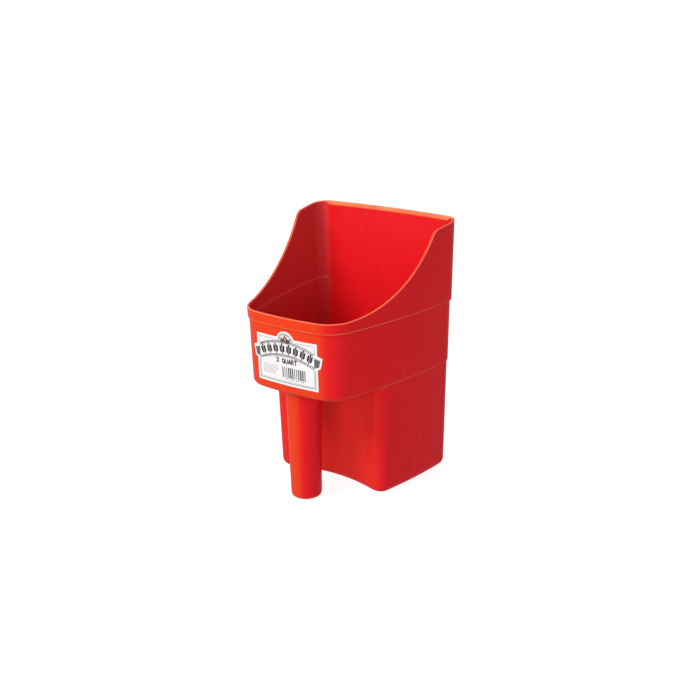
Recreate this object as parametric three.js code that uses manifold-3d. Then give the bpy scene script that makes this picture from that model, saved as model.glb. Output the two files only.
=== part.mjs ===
// Feed scoop: a one-piece injection moulding that stands on its base, and the paper label on its front.
// Units are millimetres, +Z is up, +X is the scoop's right, and the front with the handle faces -Y.
// The origin is on the floor, under the middle of the bounding box.
//
// From the top down the moulding has three bands, each a small step inside the one above it:
// the hopper with the swept side walls, the skirt that carries the label, and the bin.
// The bin stops short of the skirt's front, so a ledge joins them, and the hollow handle hangs from it.
import * as THREE from "three";
import { mergeVertices } from "three/addons/utils/BufferGeometryUtils.js";
import Module from "manifold-3d";

const wasm = await Module();
wasm.setup();

const DEGREE = Math.PI / 180;

// Heights above the floor, from the back wall's rim down to the steps below the hopper and the skirt.
const HEIGHT = 250;
const FRONT_RIM = 182;
const HOPPER_LIP = 10;
const SKIRT_HEIGHT = 64;
const HOPPER_FOOT = FRONT_RIM - HOPPER_LIP;
const SKIRT_FOOT = HOPPER_FOOT - SKIRT_HEIGHT;

// The moulding's walls, and how far each band stands inside the one above it.
const WALL = 2.2;
const FLOOR = 2.6;
const HOPPER_STEP = 1.3;
const SKIRT_STEP = 0.8;
const BIN_INSET = HOPPER_STEP + SKIRT_STEP;

// The depth over all, and the hopper's plan at its foot: wider at the back, every wall bulging outwards.
const DEPTH = 167;
const PLAN = { backHalf: 81.4, frontHalf: 51.9, backBow: 3.6, sideBow: 6.5, frontBow: 4.2 };
const BACK_CORNER = 15;
const FRONT_CORNER = 18;

// How far each wall leans out, for the mould to let go of it.
const SIDE_DRAFT = 1.6 * DEGREE;
const BACK_DRAFT = 1.0 * DEGREE;
const FRONT_DRAFT = 0.4 * DEGREE;

// The handle: a tapered tube, closed at the foot, that leans back a little as it rises.
// Its cavity is open to the skirt above.
const HANDLE = { setback: 23.3, lean: 1.2, footRadius: 14.5, topRadius: 16.6, footEdge: 3, foot: 2.6 };
const HANDLE_Y = -DEPTH / 2 + HANDLE.setback;

// The bin's front stands a hand's room behind the handle: a knuckle hollow between two rounded posts.
const FINGER_ROOM = 20.3;
const BIN_FRONT = HANDLE_Y + HANDLE.topRadius + FINGER_ROOM;
const BIN_FRONT_HALF = 50;
const KNUCKLE_HOLLOW = 7.5;
const POST_TURN = 8;

// Rounded lower edges.
const BIN_EDGE = 7;
const SKIRT_EDGE = 4.5;

// How finely the curves are divided: each wall, each corner, the hollow and its posts, and the round edges.
const WALL_POINTS = 8;
const BACK_POINTS = 4;
const CORNER_POINTS = 6;
const HOLLOW_POINTS = 12;
const POST_POINTS = 8;
const EDGE_STEPS = 3;
const TUBE_SIDES = 32;
const CREST_STEPS = 12;

// The side walls' rim: level at the front, then one arc up to a shoulder, and a gentle rise to the back.
const SWEEP = { start: -70, radius: 128, shoulderDrop: 9.7, shoulderRound: 6 };
const SWEEP_STEPS = 10;

// The inside's step at the hopper's foot stands this much higher than the outside's.
const STEP_RISE = 1;

// How far the shapes that are cut off at the rim first stand above it.
const ABOVE = 20;

// The label: a rectangle with a ribbon's tail on each side and a round crest on top.
const LABEL = {
  half: 34.5,
  fromSkirtFoot: 9.5,
  fromHopper: 9.7,
  tailReach: 5,
  tailDrop: 10.8,
  tailHeight: 13.5,
  tailSlant: 2,
  crestRadius: 10.5,
  crestRise: 6.5,
  gap: 0.3,
  thickness: 0.3,
};

const plastic = new THREE.MeshStandardMaterial({ color: 0xd8202a, roughness: 0.32, metalness: 0 });
const paper = new THREE.MeshStandardMaterial({ color: 0xe9ebe6, roughness: 0.6, metalness: 0 });

// ---- Plans -----------------------------------------------------------------------------------------

const tanBack = Math.tan(BACK_DRAFT);
const tanFront = Math.tan(FRONT_DRAFT);

// The y of the hopper's walls at its foot, where they stand furthest out.
const backWall = DEPTH / 2 - tanBack * (HEIGHT - HOPPER_FOOT);
const frontWall = -DEPTH / 2 + tanFront * (FRONT_RIM - HOPPER_FOOT);
const backCornerY = backWall - PLAN.backBow;
const frontCornerY = frontWall + PLAN.frontBow;
const sideTaper = (PLAN.backHalf - PLAN.frontHalf) / (backCornerY - frontCornerY);
const sideStretch = Math.hypot(1, sideTaper);

// A wall seen from above: a line from one corner to the next that bulges by bow to its right-hand side.
function wall(fromX, fromY, toX, toY, bow) {
  const from = new THREE.Vector2(fromX, fromY);
  const to = new THREE.Vector2(toX, toY);
  const along = to.clone().sub(from).normalize();
  const outwards = new THREE.Vector2(along.y, -along.x);
  const middle = from.clone().lerp(to, 0.5).addScaledVector(outwards, 2 * bow);
  return new THREE.QuadraticBezierCurve(from, middle, to);
}

// The round corner that leads from one wall's end into the next wall's start.
function corner(before, beforeT, after, afterT) {
  const start = before.getPoint(beforeT);
  const end = after.getPoint(afterT);
  const heading = before.getTangent(beforeT);
  const leaving = after.getTangent(afterT);
  const turn = Math.acos(heading.dot(leaving));
  const reach = (start.distanceTo(end) * (2 / 3) * Math.tan(turn / 4)) / Math.sin(turn / 2);
  const first = start.clone().addScaledVector(heading, reach);
  const second = end.clone().addScaledVector(leaving, -reach);
  return new THREE.CubicBezierCurve(start, first, second, end);
}

// Points along a curve between two of its parameters, without the last one.
function stretch(curve, from, to, count) {
  return Array.from({ length: count }, (_, i) => curve.getPoint(from + ((to - from) * i) / count));
}

// The side and back walls, moved inwards by inset.
function sideAndBack(inset) {
  const backHalf = PLAN.backHalf - inset * (sideStretch + sideTaper);
  const frontHalf = PLAN.frontHalf - inset * (sideStretch - sideTaper);
  const backY = backCornerY - inset;
  const frontY = frontCornerY + inset;
  return {
    right: wall(frontHalf, frontY, backHalf, backY, PLAN.sideBow),
    back: wall(backHalf, backY, -backHalf, backY, PLAN.backBow),
    left: wall(-backHalf, backY, -frontHalf, frontY, PLAN.sideBow),
    front: wall(-frontHalf, frontY, frontHalf, frontY, PLAN.frontBow),
    sideLength: Math.hypot(backY - frontY, backHalf - frontHalf),
    backLength: 2 * backHalf,
    frontLength: 2 * frontHalf,
  };
}

// A whole plan: the front given, and the sides and back that start at sideFront behind it.
// The front keeps frontEnd clear at each end, and its corners have cornerPoints each.
function closedPlan(w, inset, front, frontEnd, frontPoints, sideFront, cornerPoints) {
  const backCut = BACK_CORNER - inset;
  const sideBack = backCut / w.sideLength;
  const backEnd = backCut / w.backLength;
  return [
    ...stretch(front, frontEnd, 1 - frontEnd, frontPoints),
    ...stretch(corner(front, 1 - frontEnd, w.right, sideFront), 0, 1, cornerPoints),
    ...stretch(w.right, sideFront, 1 - sideBack, WALL_POINTS),
    ...stretch(corner(w.right, 1 - sideBack, w.back, backEnd), 0, 1, CORNER_POINTS),
    ...stretch(w.back, backEnd, 1 - backEnd, BACK_POINTS),
    ...stretch(corner(w.back, 1 - backEnd, w.left, sideBack), 0, 1, CORNER_POINTS),
    ...stretch(w.left, sideBack, 1 - sideFront, WALL_POINTS),
    ...stretch(corner(w.left, 1 - sideFront, front, frontEnd), 0, 1, cornerPoints),
  ];
}

// The hopper's and the skirt's plan.
function bodyPlan(inset) {
  const w = sideAndBack(inset);
  const frontCut = FRONT_CORNER - inset;
  const frontEnd = frontCut / w.frontLength;
  return closedPlan(w, inset, w.front, frontEnd, WALL_POINTS, frontCut / w.sideLength, CORNER_POINTS);
}

// The bin's plan: the same sides and back, cut short by the knuckle hollow and its two posts.
function binPlan(inset) {
  const behind = inset - BIN_INSET;
  const half = BIN_FRONT_HALF - behind / 2;
  const y = BIN_FRONT + behind;
  const front = wall(-half, y, half, y, -KNUCKLE_HOLLOW);
  const sideFront = (BIN_FRONT + POST_TURN - frontCornerY) / (backCornerY - frontCornerY);
  return closedPlan(sideAndBack(inset), inset, front, 0, HOLLOW_POINTS, sideFront, POST_POINTS);
}

// ---- Solids ----------------------------------------------------------------------------------------

// A closed three.js geometry as a solid that can be joined and cut.
function solid(geometry) {
  geometry.deleteAttribute("normal");
  geometry.deleteAttribute("uv");
  const merged = mergeVertices(geometry, 1e-3);
  const vertProperties = merged.attributes.position.array;
  const triVerts = new Uint32Array(merged.index.array);
  return new wasm.Manifold(new wasm.Mesh({ numProp: 3, vertProperties, triVerts }));
}

// A finished solid as a named mesh.
function meshOf(name, shape, material) {
  const { vertProperties, triVerts } = shape.getMesh();
  const geometry = new THREE.BufferGeometry();
  geometry.setAttribute("position", new THREE.BufferAttribute(vertProperties, 3));
  geometry.setIndex(new THREE.BufferAttribute(triVerts, 1));
  geometry.computeVertexNormals();
  const mesh = new THREE.Mesh(geometry, material);
  mesh.name = name;
  return mesh;
}

// Leans the walls of a geometry outwards above the hopper's foot and inwards below it.
function lean(geometry) {
  const spread = Math.tan(SIDE_DRAFT) / PLAN.backHalf;
  const position = geometry.attributes.position;
  for (let i = 0; i < position.count; i += 1) {
    const rise = position.getZ(i) - HOPPER_FOOT;
    const y = position.getY(i);
    const slope = y > 0 ? tanBack / backWall : tanFront / -frontWall;
    position.setX(i, position.getX(i) * (1 + rise * spread));
    position.setY(i, y * (1 + rise * slope));
  }
  return geometry;
}

// A plan raised between two heights, with its edges rounded by edge, and its walls leaning.
function band(plan, bottom, top, edge) {
  const geometry = new THREE.ExtrudeGeometry(new THREE.Shape(plan), {
    depth: top - bottom - 2 * edge,
    bevelEnabled: edge > 0,
    bevelThickness: edge,
    bevelSize: edge,
    bevelOffset: -edge,
    bevelSegments: EDGE_STEPS,
  });
  geometry.translate(0, 0, bottom + edge);
  return solid(lean(geometry));
}

// The handle's outside or, moved inwards by inset, its cavity.
function handleTube(bottom, top, inset) {
  const radiusAt = (z) => THREE.MathUtils.mapLinear(z, 0, SKIRT_FOOT, HANDLE.footRadius, HANDLE.topRadius);
  const edge = HANDLE.footEdge - inset / 2;
  const footRadius = radiusAt(bottom) - inset;
  const profile = [new THREE.Vector2(0, bottom)];
  for (let i = 0; i <= EDGE_STEPS; i += 1) {
    const angle = (i / EDGE_STEPS) * (Math.PI / 2);
    const x = footRadius - edge + edge * Math.sin(angle);
    profile.push(new THREE.Vector2(x, bottom + edge - edge * Math.cos(angle)));
  }
  profile.push(new THREE.Vector2(radiusAt(top) - inset, top), new THREE.Vector2(0, top));
  const geometry = new THREE.LatheGeometry(profile, TUBE_SIDES).rotateX(Math.PI / 2);
  geometry.applyMatrix4(new THREE.Matrix4().makeShear(0, 0, 0, 0, 0, HANDLE.lean / SKIRT_FOOT));
  return solid(geometry.translate(0, HANDLE_Y, 0));
}

// Everything above the rim: a block whose underside follows the side walls' sweep.
function aboveTheRim() {
  const reach = DEPTH;
  const ceiling = HEIGHT + 2 * ABOVE;
  const centre = new THREE.Vector2(SWEEP.start, FRONT_RIM + SWEEP.radius);
  const climbed = HEIGHT - SWEEP.shoulderDrop - FRONT_RIM;
  const climb = Math.acos(1 - climbed / SWEEP.radius);
  const outwards = new THREE.Vector2(Math.sin(climb), -Math.cos(climb));
  const arcEnd = centre.clone().addScaledVector(outwards, SWEEP.radius);
  const climbing = new THREE.Vector2(Math.cos(climb), Math.sin(climb));
  const shoulder = arcEnd.clone().addScaledVector(climbing, SWEEP.shoulderRound);
  const backTop = new THREE.Vector2(DEPTH / 2, HEIGHT);
  const resting = backTop.clone().sub(shoulder).normalize();
  const levelled = shoulder.clone().addScaledVector(resting, SWEEP.shoulderRound);
  const shape = new THREE.Shape();
  shape.moveTo(-reach, FRONT_RIM);
  shape.lineTo(SWEEP.start, FRONT_RIM);
  shape.absarc(centre.x, centre.y, SWEEP.radius, -Math.PI / 2, climb - Math.PI / 2, false);
  shape.quadraticCurveTo(shoulder.x, shoulder.y, levelled.x, levelled.y);
  shape.lineTo(backTop.x, backTop.y);
  shape.lineTo(reach, HEIGHT);
  shape.lineTo(reach, ceiling);
  shape.lineTo(-reach, ceiling);
  const geometry = new THREE.ExtrudeGeometry(shape, {
    depth: 2 * reach,
    bevelEnabled: false,
    curveSegments: SWEEP_STEPS,
  });
  // The shape's x and y become the scoop's y and z, and the extrusion runs along x.
  const axes = new THREE.Matrix4().makeBasis(
    new THREE.Vector3(0, 1, 0),
    new THREE.Vector3(0, 0, 1),
    new THREE.Vector3(1, 0, 0),
  );
  return solid(geometry.applyMatrix4(axes).translate(-reach, 0, 0));
}

// ---- Pieces ----------------------------------------------------------------------------------------

function makeBody() {
  const above = HEIGHT + ABOVE;
  const skirtInset = HOPPER_STEP;
  const outside = band(bodyPlan(0), HOPPER_FOOT, above, 0)
    .add(band(bodyPlan(skirtInset), SKIRT_FOOT, HOPPER_FOOT + 2 * SKIRT_EDGE, SKIRT_EDGE))
    .add(band(binPlan(BIN_INSET), 0, SKIRT_FOOT + 2 * BIN_EDGE, BIN_EDGE))
    .add(handleTube(0, SKIRT_FOOT + WALL / 2, 0));
  const skirtEdgeInside = SKIRT_EDGE - WALL;
  const binEdgeInside = BIN_EDGE - WALL;
  const insideStep = HOPPER_FOOT + STEP_RISE;
  const skirtTop = insideStep + 2 * skirtEdgeInside;
  const binTop = SKIRT_FOOT + WALL + 2 * binEdgeInside;
  const inside = band(bodyPlan(WALL), insideStep, above + ABOVE, 0)
    .add(band(bodyPlan(skirtInset + WALL), SKIRT_FOOT + WALL, skirtTop, skirtEdgeInside))
    .add(band(binPlan(BIN_INSET + WALL), FLOOR, binTop, binEdgeInside))
    .add(handleTube(HANDLE.foot, SKIRT_FOOT + 2 * WALL, WALL));
  return meshOf("scoop_body", outside.subtract(inside).subtract(aboveTheRim()), plastic);
}

// The label's outline, seen from the front, as a prism that crosses the scoop's front wall.
function labelPrism() {
  const { half, tailReach, tailDrop, tailHeight, tailSlant, crestRadius, crestRise } = LABEL;
  const bottom = SKIRT_FOOT + LABEL.fromSkirtFoot;
  const top = HOPPER_FOOT - LABEL.fromHopper;
  const crestCentre = top + crestRise - crestRadius;
  const crestStart = Math.asin((top - crestCentre) / crestRadius);
  const tail = half + tailReach;
  const tailTop = top - tailDrop;
  const tailBottom = tailTop - tailHeight;
  const shape = new THREE.Shape();
  shape.moveTo(-half, bottom);
  shape.lineTo(half, bottom);
  shape.lineTo(half, tailBottom);
  shape.lineTo(tail - tailSlant, tailBottom + tailSlant);
  shape.lineTo(tail, tailTop - tailSlant);
  shape.lineTo(half, tailTop);
  shape.lineTo(half, top);
  shape.absarc(0, crestCentre, crestRadius, crestStart, Math.PI - crestStart, false);
  shape.lineTo(-half, top);
  shape.lineTo(-half, tailTop);
  shape.lineTo(-tail, tailTop - tailSlant);
  shape.lineTo(-tail + tailSlant, tailBottom + tailSlant);
  shape.lineTo(-half, tailBottom);
  const geometry = new THREE.ExtrudeGeometry(shape, {
    depth: 2 * FRONT_CORNER,
    bevelEnabled: false,
    curveSegments: CREST_STEPS,
  });
  return solid(geometry.rotateX(Math.PI / 2).translate(0, frontWall + FRONT_CORNER, 0));
}

// The label lies on a thin shell that wraps the skirt just outside its wall.
function makeLabel() {
  const behind = HOPPER_STEP - LABEL.gap;
  const shell = (inset) => band(bodyPlan(inset), SKIRT_FOOT, HOPPER_FOOT, 0);
  const sheet = shell(behind - LABEL.thickness).subtract(shell(behind));
  return meshOf("front_label", sheet.intersect(labelPrism()), paper);
}

const scoop = new THREE.Group();
scoop.name = "feed_scoop";
scoop.add(makeBody(), makeLabel());

export default scoop;
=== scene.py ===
"""Feed scoop: the moulding's finished surface, its printed label, the studio and the camera.

Sizes are in millimetres, as in the CAD model, and become metres where a mesh is made.
+Z is up and the front, with the handle and the label, faces -Y.
"""

from __future__ import annotations

import logging
import math
from dataclasses import dataclass, replace
from enum import Enum

import bmesh
import bpy
import numpy as np
from mathutils import Matrix, Vector
from mathutils.geometry import delaunay_2d_cdt

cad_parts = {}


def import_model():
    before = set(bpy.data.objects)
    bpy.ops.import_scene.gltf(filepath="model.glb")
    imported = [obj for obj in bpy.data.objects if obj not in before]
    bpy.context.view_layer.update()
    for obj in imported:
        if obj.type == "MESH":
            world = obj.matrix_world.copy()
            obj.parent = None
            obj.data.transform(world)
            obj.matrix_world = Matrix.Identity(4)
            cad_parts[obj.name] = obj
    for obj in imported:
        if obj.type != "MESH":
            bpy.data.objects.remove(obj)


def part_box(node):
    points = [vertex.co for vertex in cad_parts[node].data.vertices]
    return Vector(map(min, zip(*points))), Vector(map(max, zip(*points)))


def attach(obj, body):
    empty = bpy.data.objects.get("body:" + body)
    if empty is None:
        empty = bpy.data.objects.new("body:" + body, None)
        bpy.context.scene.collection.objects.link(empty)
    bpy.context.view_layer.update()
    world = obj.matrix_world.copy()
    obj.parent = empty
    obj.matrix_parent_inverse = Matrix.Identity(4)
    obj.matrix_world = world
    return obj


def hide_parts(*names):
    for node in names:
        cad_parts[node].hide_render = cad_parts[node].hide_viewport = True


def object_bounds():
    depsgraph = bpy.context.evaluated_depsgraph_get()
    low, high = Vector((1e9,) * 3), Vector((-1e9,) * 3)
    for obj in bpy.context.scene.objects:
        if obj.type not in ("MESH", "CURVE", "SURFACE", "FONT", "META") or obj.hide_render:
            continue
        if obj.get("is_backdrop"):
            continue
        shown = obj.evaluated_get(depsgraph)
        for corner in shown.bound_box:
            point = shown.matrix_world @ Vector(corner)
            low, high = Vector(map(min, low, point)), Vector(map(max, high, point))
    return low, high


log = logging.getLogger("feed_scoop")

MM = 0.001
QUARTER_TURN = math.pi / 2
TURNED_SIDES = 112
BODY = "root"

Array = np.ndarray
Colour = tuple[float, float, float, float]
Points = list[tuple[float, float]]


# ---- Curves ----------------------------------------------------------------------------------------


def bezier(controls: list[Array], at: Array) -> Array:
    """Points on a Bezier curve.

    Args:
        controls: the curve's control points.
        at: the curve parameters, 0 to 1.

    Returns:
        One row for each parameter.
    """
    layers = [np.outer(np.ones_like(at), point) for point in controls]
    while len(layers) > 1:
        layers = [a + (b - a) * at[:, None] for a, b in zip(layers, layers[1:])]
    return layers[0]


def span(start: float, end: float, count: int) -> Array:
    """Evenly spaced parameters from start up to end, without end itself."""
    return start + (end - start) * np.arange(count) / count


def steps_to(end: float, count: int) -> Array:
    """Evenly spaced values from 0 up to end, without 0 itself."""
    return np.linspace(0, end, count)[1:]


def smooth(low: float, high: float, value: Array | float) -> Array:
    """A smooth step from 0 at low to 1 at high."""
    t = np.clip((np.asarray(value, dtype=float) - low) / (high - low), 0, 1)
    return t * t * (3 - 2 * t)


@dataclass(frozen=True)
class Wall:
    """A wall seen from above: a line between two corners that bulges to its right-hand side.

    Attributes:
        start: the corner that it leaves.
        end: the corner that it reaches.
        bow: how far its middle bulges outwards.
    """

    start: Array
    end: Array
    bow: float

    @property
    def controls(self) -> list[Array]:
        """The control points of the wall's curve."""
        along = (self.end - self.start) / np.linalg.norm(self.end - self.start)
        outwards = np.array([along[1], -along[0]])
        return [self.start, (self.start + self.end) / 2 + 2 * self.bow * outwards, self.end]

    def at(self, parameters: Array) -> Array:
        """The wall's points at some parameters."""
        return bezier(self.controls, parameters)

    def heading(self, parameter: float) -> Array:
        """The wall's direction at one parameter.

        Args:
            parameter: where on the wall, 0 to 1.

        Returns:
            A unit vector.
        """
        first, middle, last = self.controls
        slope = (middle - first) * (1 - parameter) + (last - middle) * parameter
        return slope / np.linalg.norm(slope)


def corner(before: Wall, leave: float, after: Wall, arrive: float, count: int) -> Array:
    """The round corner that leads from one wall into the next.

    Args:
        before: the wall that the corner leaves.
        leave: the parameter on that wall where the corner begins.
        after: the wall that it reaches.
        arrive: the parameter on that wall where the corner ends.
        count: how many points to give, without the last one.

    Returns:
        The corner's points.
    """
    start = before.at(np.array([leave]))[0]
    end = after.at(np.array([arrive]))[0]
    heading = before.heading(leave)
    leaving = after.heading(arrive)
    turn = math.acos(float(np.clip(heading @ leaving, -1, 1)))
    reach = np.linalg.norm(end - start) * (2 / 3) * math.tan(turn / 4) / math.sin(turn / 2)
    return bezier([start, start + reach * heading, end - reach * leaving, end], span(0, 1, count))


def outward_normals(ring: Array) -> Array:
    """The outward normals of a closed outline that runs anticlockwise.

    Args:
        ring: the outline's points, one to a row.

    Returns:
        A unit vector for each point.
    """
    along = np.roll(ring, -1, axis=0) - np.roll(ring, 1, axis=0)
    normal = np.stack([along[:, 1], -along[:, 0]], axis=1)
    return normal / np.linalg.norm(normal, axis=1)[:, None]


# ---- The moulding's sizes --------------------------------------------------------------------------


@dataclass(frozen=True)
class Mould:
    """The sizes that the moulding and its label share, and the outlines that follow from them.

    Attributes:
        height: the back rim's height.
        depth: the depth over all.
        front_rim: the front rim's height.
        hopper_lip: how far the front rim stands above the hopper's foot.
        skirt_height: the skirt's height.
        wall: the walls' thickness.
        floor: the floor's thickness.
        hopper_step: how far the skirt is set in below the hopper.
        skirt_step: how far the bin is set in below the skirt.
        back_half: half the width at the back wall's corners, a hair inside the CAD model's.
        front_half: half the width at the front wall's corners.
        back_bow, side_bow, front_bow: how far those walls bulge.
        back_corner, front_corner: how much of the walls their round corners take.
        side_draft, back_draft, front_draft: how much those walls lean outwards.
        handle_setback: how far the handle's axis is behind the front.
        handle_lean: how far the handle's top is behind its foot.
        handle_foot_radius, handle_top_radius: the handle's radius at each end.
        handle_edge: the radius of its rounded lower edge.
        finger_room: the gap between the handle and the posts.
        bin_front_half: half the width of the bin's front.
        knuckle_hollow: how far the bin's front is hollowed.
        post_turn: how far back from the posts the bin joins the side walls.
        bin_edge: the radius of the bin's lower edge.
        skirt_edge: the radius of the skirt's lower edge.
        sweep_start: where the rim starts to climb, from front to back.
        sweep_radius: the radius of its climb.
        shoulder_drop: how far the shoulder is below the back rim.
        shoulder_round: how far each way the shoulder is rounded.
    """

    height: float
    depth: float
    front_rim: float = 182
    hopper_lip: float = 10
    skirt_height: float = 64
    wall: float = 2.2
    floor: float = 2.6
    hopper_step: float = 1.3
    skirt_step: float = 0.8
    back_half: float = 81.38
    front_half: float = 51.9
    back_bow: float = 3.6
    side_bow: float = 6.5
    front_bow: float = 4.2
    back_corner: float = 15
    front_corner: float = 18
    side_draft: float = math.radians(1.6)
    back_draft: float = math.radians(1.0)
    front_draft: float = math.radians(0.4)
    handle_setback: float = 23.3
    handle_lean: float = 1.2
    handle_foot_radius: float = 14.5
    handle_top_radius: float = 16.6
    handle_edge: float = 3
    finger_room: float = 20.3
    bin_front_half: float = 50
    knuckle_hollow: float = 7.5
    post_turn: float = 8
    bin_edge: float = 7
    skirt_edge: float = 4.5
    sweep_start: float = -70
    sweep_radius: float = 128
    shoulder_drop: float = 9.7
    shoulder_round: float = 6

    CLIMB_POINTS = 80
    SHOULDER_POINTS = 20

    @property
    def hopper_foot(self) -> float:
        """The height of the step below the hopper."""
        return self.front_rim - self.hopper_lip

    @property
    def skirt_foot(self) -> float:
        """The height of the step below the skirt."""
        return self.hopper_foot - self.skirt_height

    @property
    def bin_inset(self) -> float:
        """How far the bin stands inside the hopper."""
        return self.hopper_step + self.skirt_step

    @property
    def handle_y(self) -> float:
        """Where the handle's foot stands, from front to back."""
        return -self.depth / 2 + self.handle_setback

    @property
    def bin_front(self) -> float:
        """The plane of the bin's two front posts."""
        return self.handle_y + self.handle_top_radius + self.finger_room

    @property
    def back_wall(self) -> float:
        """The y of the back wall at the hopper's foot."""
        return self.depth / 2 - math.tan(self.back_draft) * (self.height - self.hopper_foot)

    @property
    def front_wall(self) -> float:
        """The y of the front wall at the hopper's foot."""
        return -self.depth / 2 + math.tan(self.front_draft) * self.hopper_lip

    @property
    def bin_middle(self) -> Array:
        """The middle of the bin in plan."""
        return np.array([0, (self.back_wall + self.bin_front) / 2])

    @property
    def flat_back(self) -> float:
        """Half the width of the back wall between its round corners, as far as the lip is bevelled."""
        return self.back_half - 0.72 * self.back_corner

    @property
    def junction(self) -> float:
        """The parameter on a side wall where the bin's post turns off it."""
        back = self.back_wall - self.back_bow
        front = self.front_wall + self.front_bow
        return (self.bin_front + self.post_turn - front) / (back - front)

    def walls(self, inset: float) -> dict[str, Wall]:
        """The four walls, moved inwards.

        Args:
            inset: how far inwards.

        Returns:
            The walls by name, each running anticlockwise.
        """
        back = self.back_wall - self.back_bow
        front = self.front_wall + self.front_bow
        taper = (self.back_half - self.front_half) / (back - front)
        stretch = math.hypot(1, taper)
        back_half = self.back_half - inset * (stretch + taper)
        front_half = self.front_half - inset * (stretch - taper)
        back_left, back_right = (np.array([side * back_half, back - inset]) for side in (-1, 1))
        front_left, front_right = (np.array([side * front_half, front + inset]) for side in (-1, 1))
        return {
            "right": Wall(front_right, back_right, self.side_bow),
            "back": Wall(back_right, back_left, self.back_bow),
            "left": Wall(back_left, front_left, self.side_bow),
            "front": Wall(front_left, front_right, self.front_bow),
        }

    def leaned(self, outline: Array, z: Array | float) -> Array:
        """An outline at its height, with the walls leaning outwards as they rise.

        Args:
            outline: points in plan.
            z: one height, or one for each point.

        Returns:
            The points in space.
        """
        z = np.broadcast_to(np.asarray(z, dtype=float), (len(outline),))
        rise = z - self.hopper_foot
        x, y = outline[:, 0], outline[:, 1]
        back_slope = math.tan(self.back_draft) / self.back_wall
        front_slope = math.tan(self.front_draft) / -self.front_wall
        slope = np.where(y > 0, back_slope, front_slope)
        spread = math.tan(self.side_draft) / self.back_half
        return np.stack([x * (1 + rise * spread), y * (1 + rise * slope), z], axis=1)

    def rim_profile(self) -> tuple[Array, Array]:
        """The rim seen from the side.

        Returns:
            The y and the z of points along it: level at the front, an arc up to the shoulder,
            and a gentle rise to the back.
        """
        climb = math.acos(1 - (self.height - self.shoulder_drop - self.front_rim) / self.sweep_radius)
        angle = np.linspace(0, climb, self.CLIMB_POINTS)
        arc_y = self.sweep_start + self.sweep_radius * np.sin(angle)
        arc_z = self.front_rim + self.sweep_radius * (1 - np.cos(angle))
        arc_end = np.array([arc_y[-1], arc_z[-1]])
        shoulder = arc_end + self.shoulder_round * np.array([math.cos(climb), math.sin(climb)])
        back_top = np.array([self.depth / 2, self.height])
        resting = (back_top - shoulder) / np.linalg.norm(back_top - shoulder)
        levelled = shoulder + self.shoulder_round * resting
        turn = bezier([arc_end, shoulder, levelled], steps_to(1, self.SHOULDER_POINTS))
        y = np.concatenate([[-self.depth], arc_y, turn[:, 0], [back_top[0], self.depth]])
        z = np.concatenate([[self.front_rim], arc_z, turn[:, 1], [self.height, self.height]])
        return y, z


# ---- Meshes ----------------------------------------------------------------------------------------


def add_object(name: str, mesh: bpy.types.Mesh) -> bpy.types.Object:
    """Puts a mesh into the scene.

    Args:
        name: the piece's name.
        mesh: its mesh, in metres.

    Returns:
        The new object.
    """
    piece = bpy.data.objects.new(name, mesh)
    bpy.context.scene.collection.objects.link(piece)
    return piece


def mesh_of(name: str, vertices: Array, faces: list[tuple[int, ...]]) -> bpy.types.Mesh:
    """Makes a closed mesh whose faces point outwards.

    Args:
        name: the mesh's name.
        vertices: its points, in millimetres.
        faces: corner numbers of each face.

    Returns:
        The mesh, in metres.
    """
    mesh = bpy.data.meshes.new(name)
    mesh.from_pydata((vertices * MM).tolist(), [], faces)
    shape = bmesh.new()
    shape.from_mesh(mesh)
    if shape.calc_volume(signed=True) < 0:
        bmesh.ops.reverse_faces(shape, faces=shape.faces)
    shape.to_mesh(mesh)
    shape.free()
    return mesh


def loft(name: str, rings: list[Array], start: Array, end: Array) -> bpy.types.Mesh:
    """Skins a stack of closed rings, and closes both ends at a point.

    Args:
        name: the mesh's name.
        rings: rings of equally many points, in order.
        start: the point that closes the first ring.
        end: the point that closes the last ring.

    Returns:
        The mesh.
    """
    count = len(rings[0])
    vertices = np.vstack([*rings, start, end])
    first, last = len(rings) * count, len(rings) * count + 1
    top = (len(rings) - 1) * count
    faces: list[tuple[int, ...]] = []
    for level in range(len(rings) - 1):
        low, high = level * count, (level + 1) * count
        for i in range(count):
            j = (i + 1) % count
            faces.append((low + i, low + j, high + j, high + i))
    for i in range(count):
        j = (i + 1) % count
        faces.append((first, j, i))
        faces.append((last, top + i, top + j))
    return mesh_of(name, vertices, faces)


def turned(name: str, profile: Points, centre: tuple[float, float], shear: float) -> bpy.types.Object:
    """A solid of revolution about an upright axis that leans towards the back as it rises.

    Args:
        name: the object's name.
        profile: radius and height of each point, from the foot to the top, not on the axis.
        centre: the axis's x and y at the floor.
        shear: how far the axis moves back for each millimetre of height.

    Returns:
        The object.
    """
    angle = span(0, 2 * math.pi, TURNED_SIDES)
    rings = []
    for radius, height in profile:
        x = centre[0] + radius * np.cos(angle)
        y = centre[1] + radius * np.sin(angle) + shear * height
        rings.append(np.stack([x, y, np.full_like(x, height)], axis=1))
    ends = [np.array([centre[0], centre[1] + shear * h, h]) for h in (profile[0][1], profile[-1][1])]
    return add_object(name, loft(name, rings, ends[0], ends[1]))


def arc(centre: tuple[float, float], radius: float, start: float, end: float, count: int) -> Points:
    """Points on an arc.

    Args:
        centre: the arc's centre.
        radius: its radius.
        start: the angle that it starts at, in degrees.
        end: the angle that it ends at.
        count: how many points, both ends included.

    Returns:
        The points.
    """
    angles = np.radians(np.linspace(start, end, count))
    return [(centre[0] + radius * math.cos(a), centre[1] + radius * math.sin(a)) for a in angles]


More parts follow.
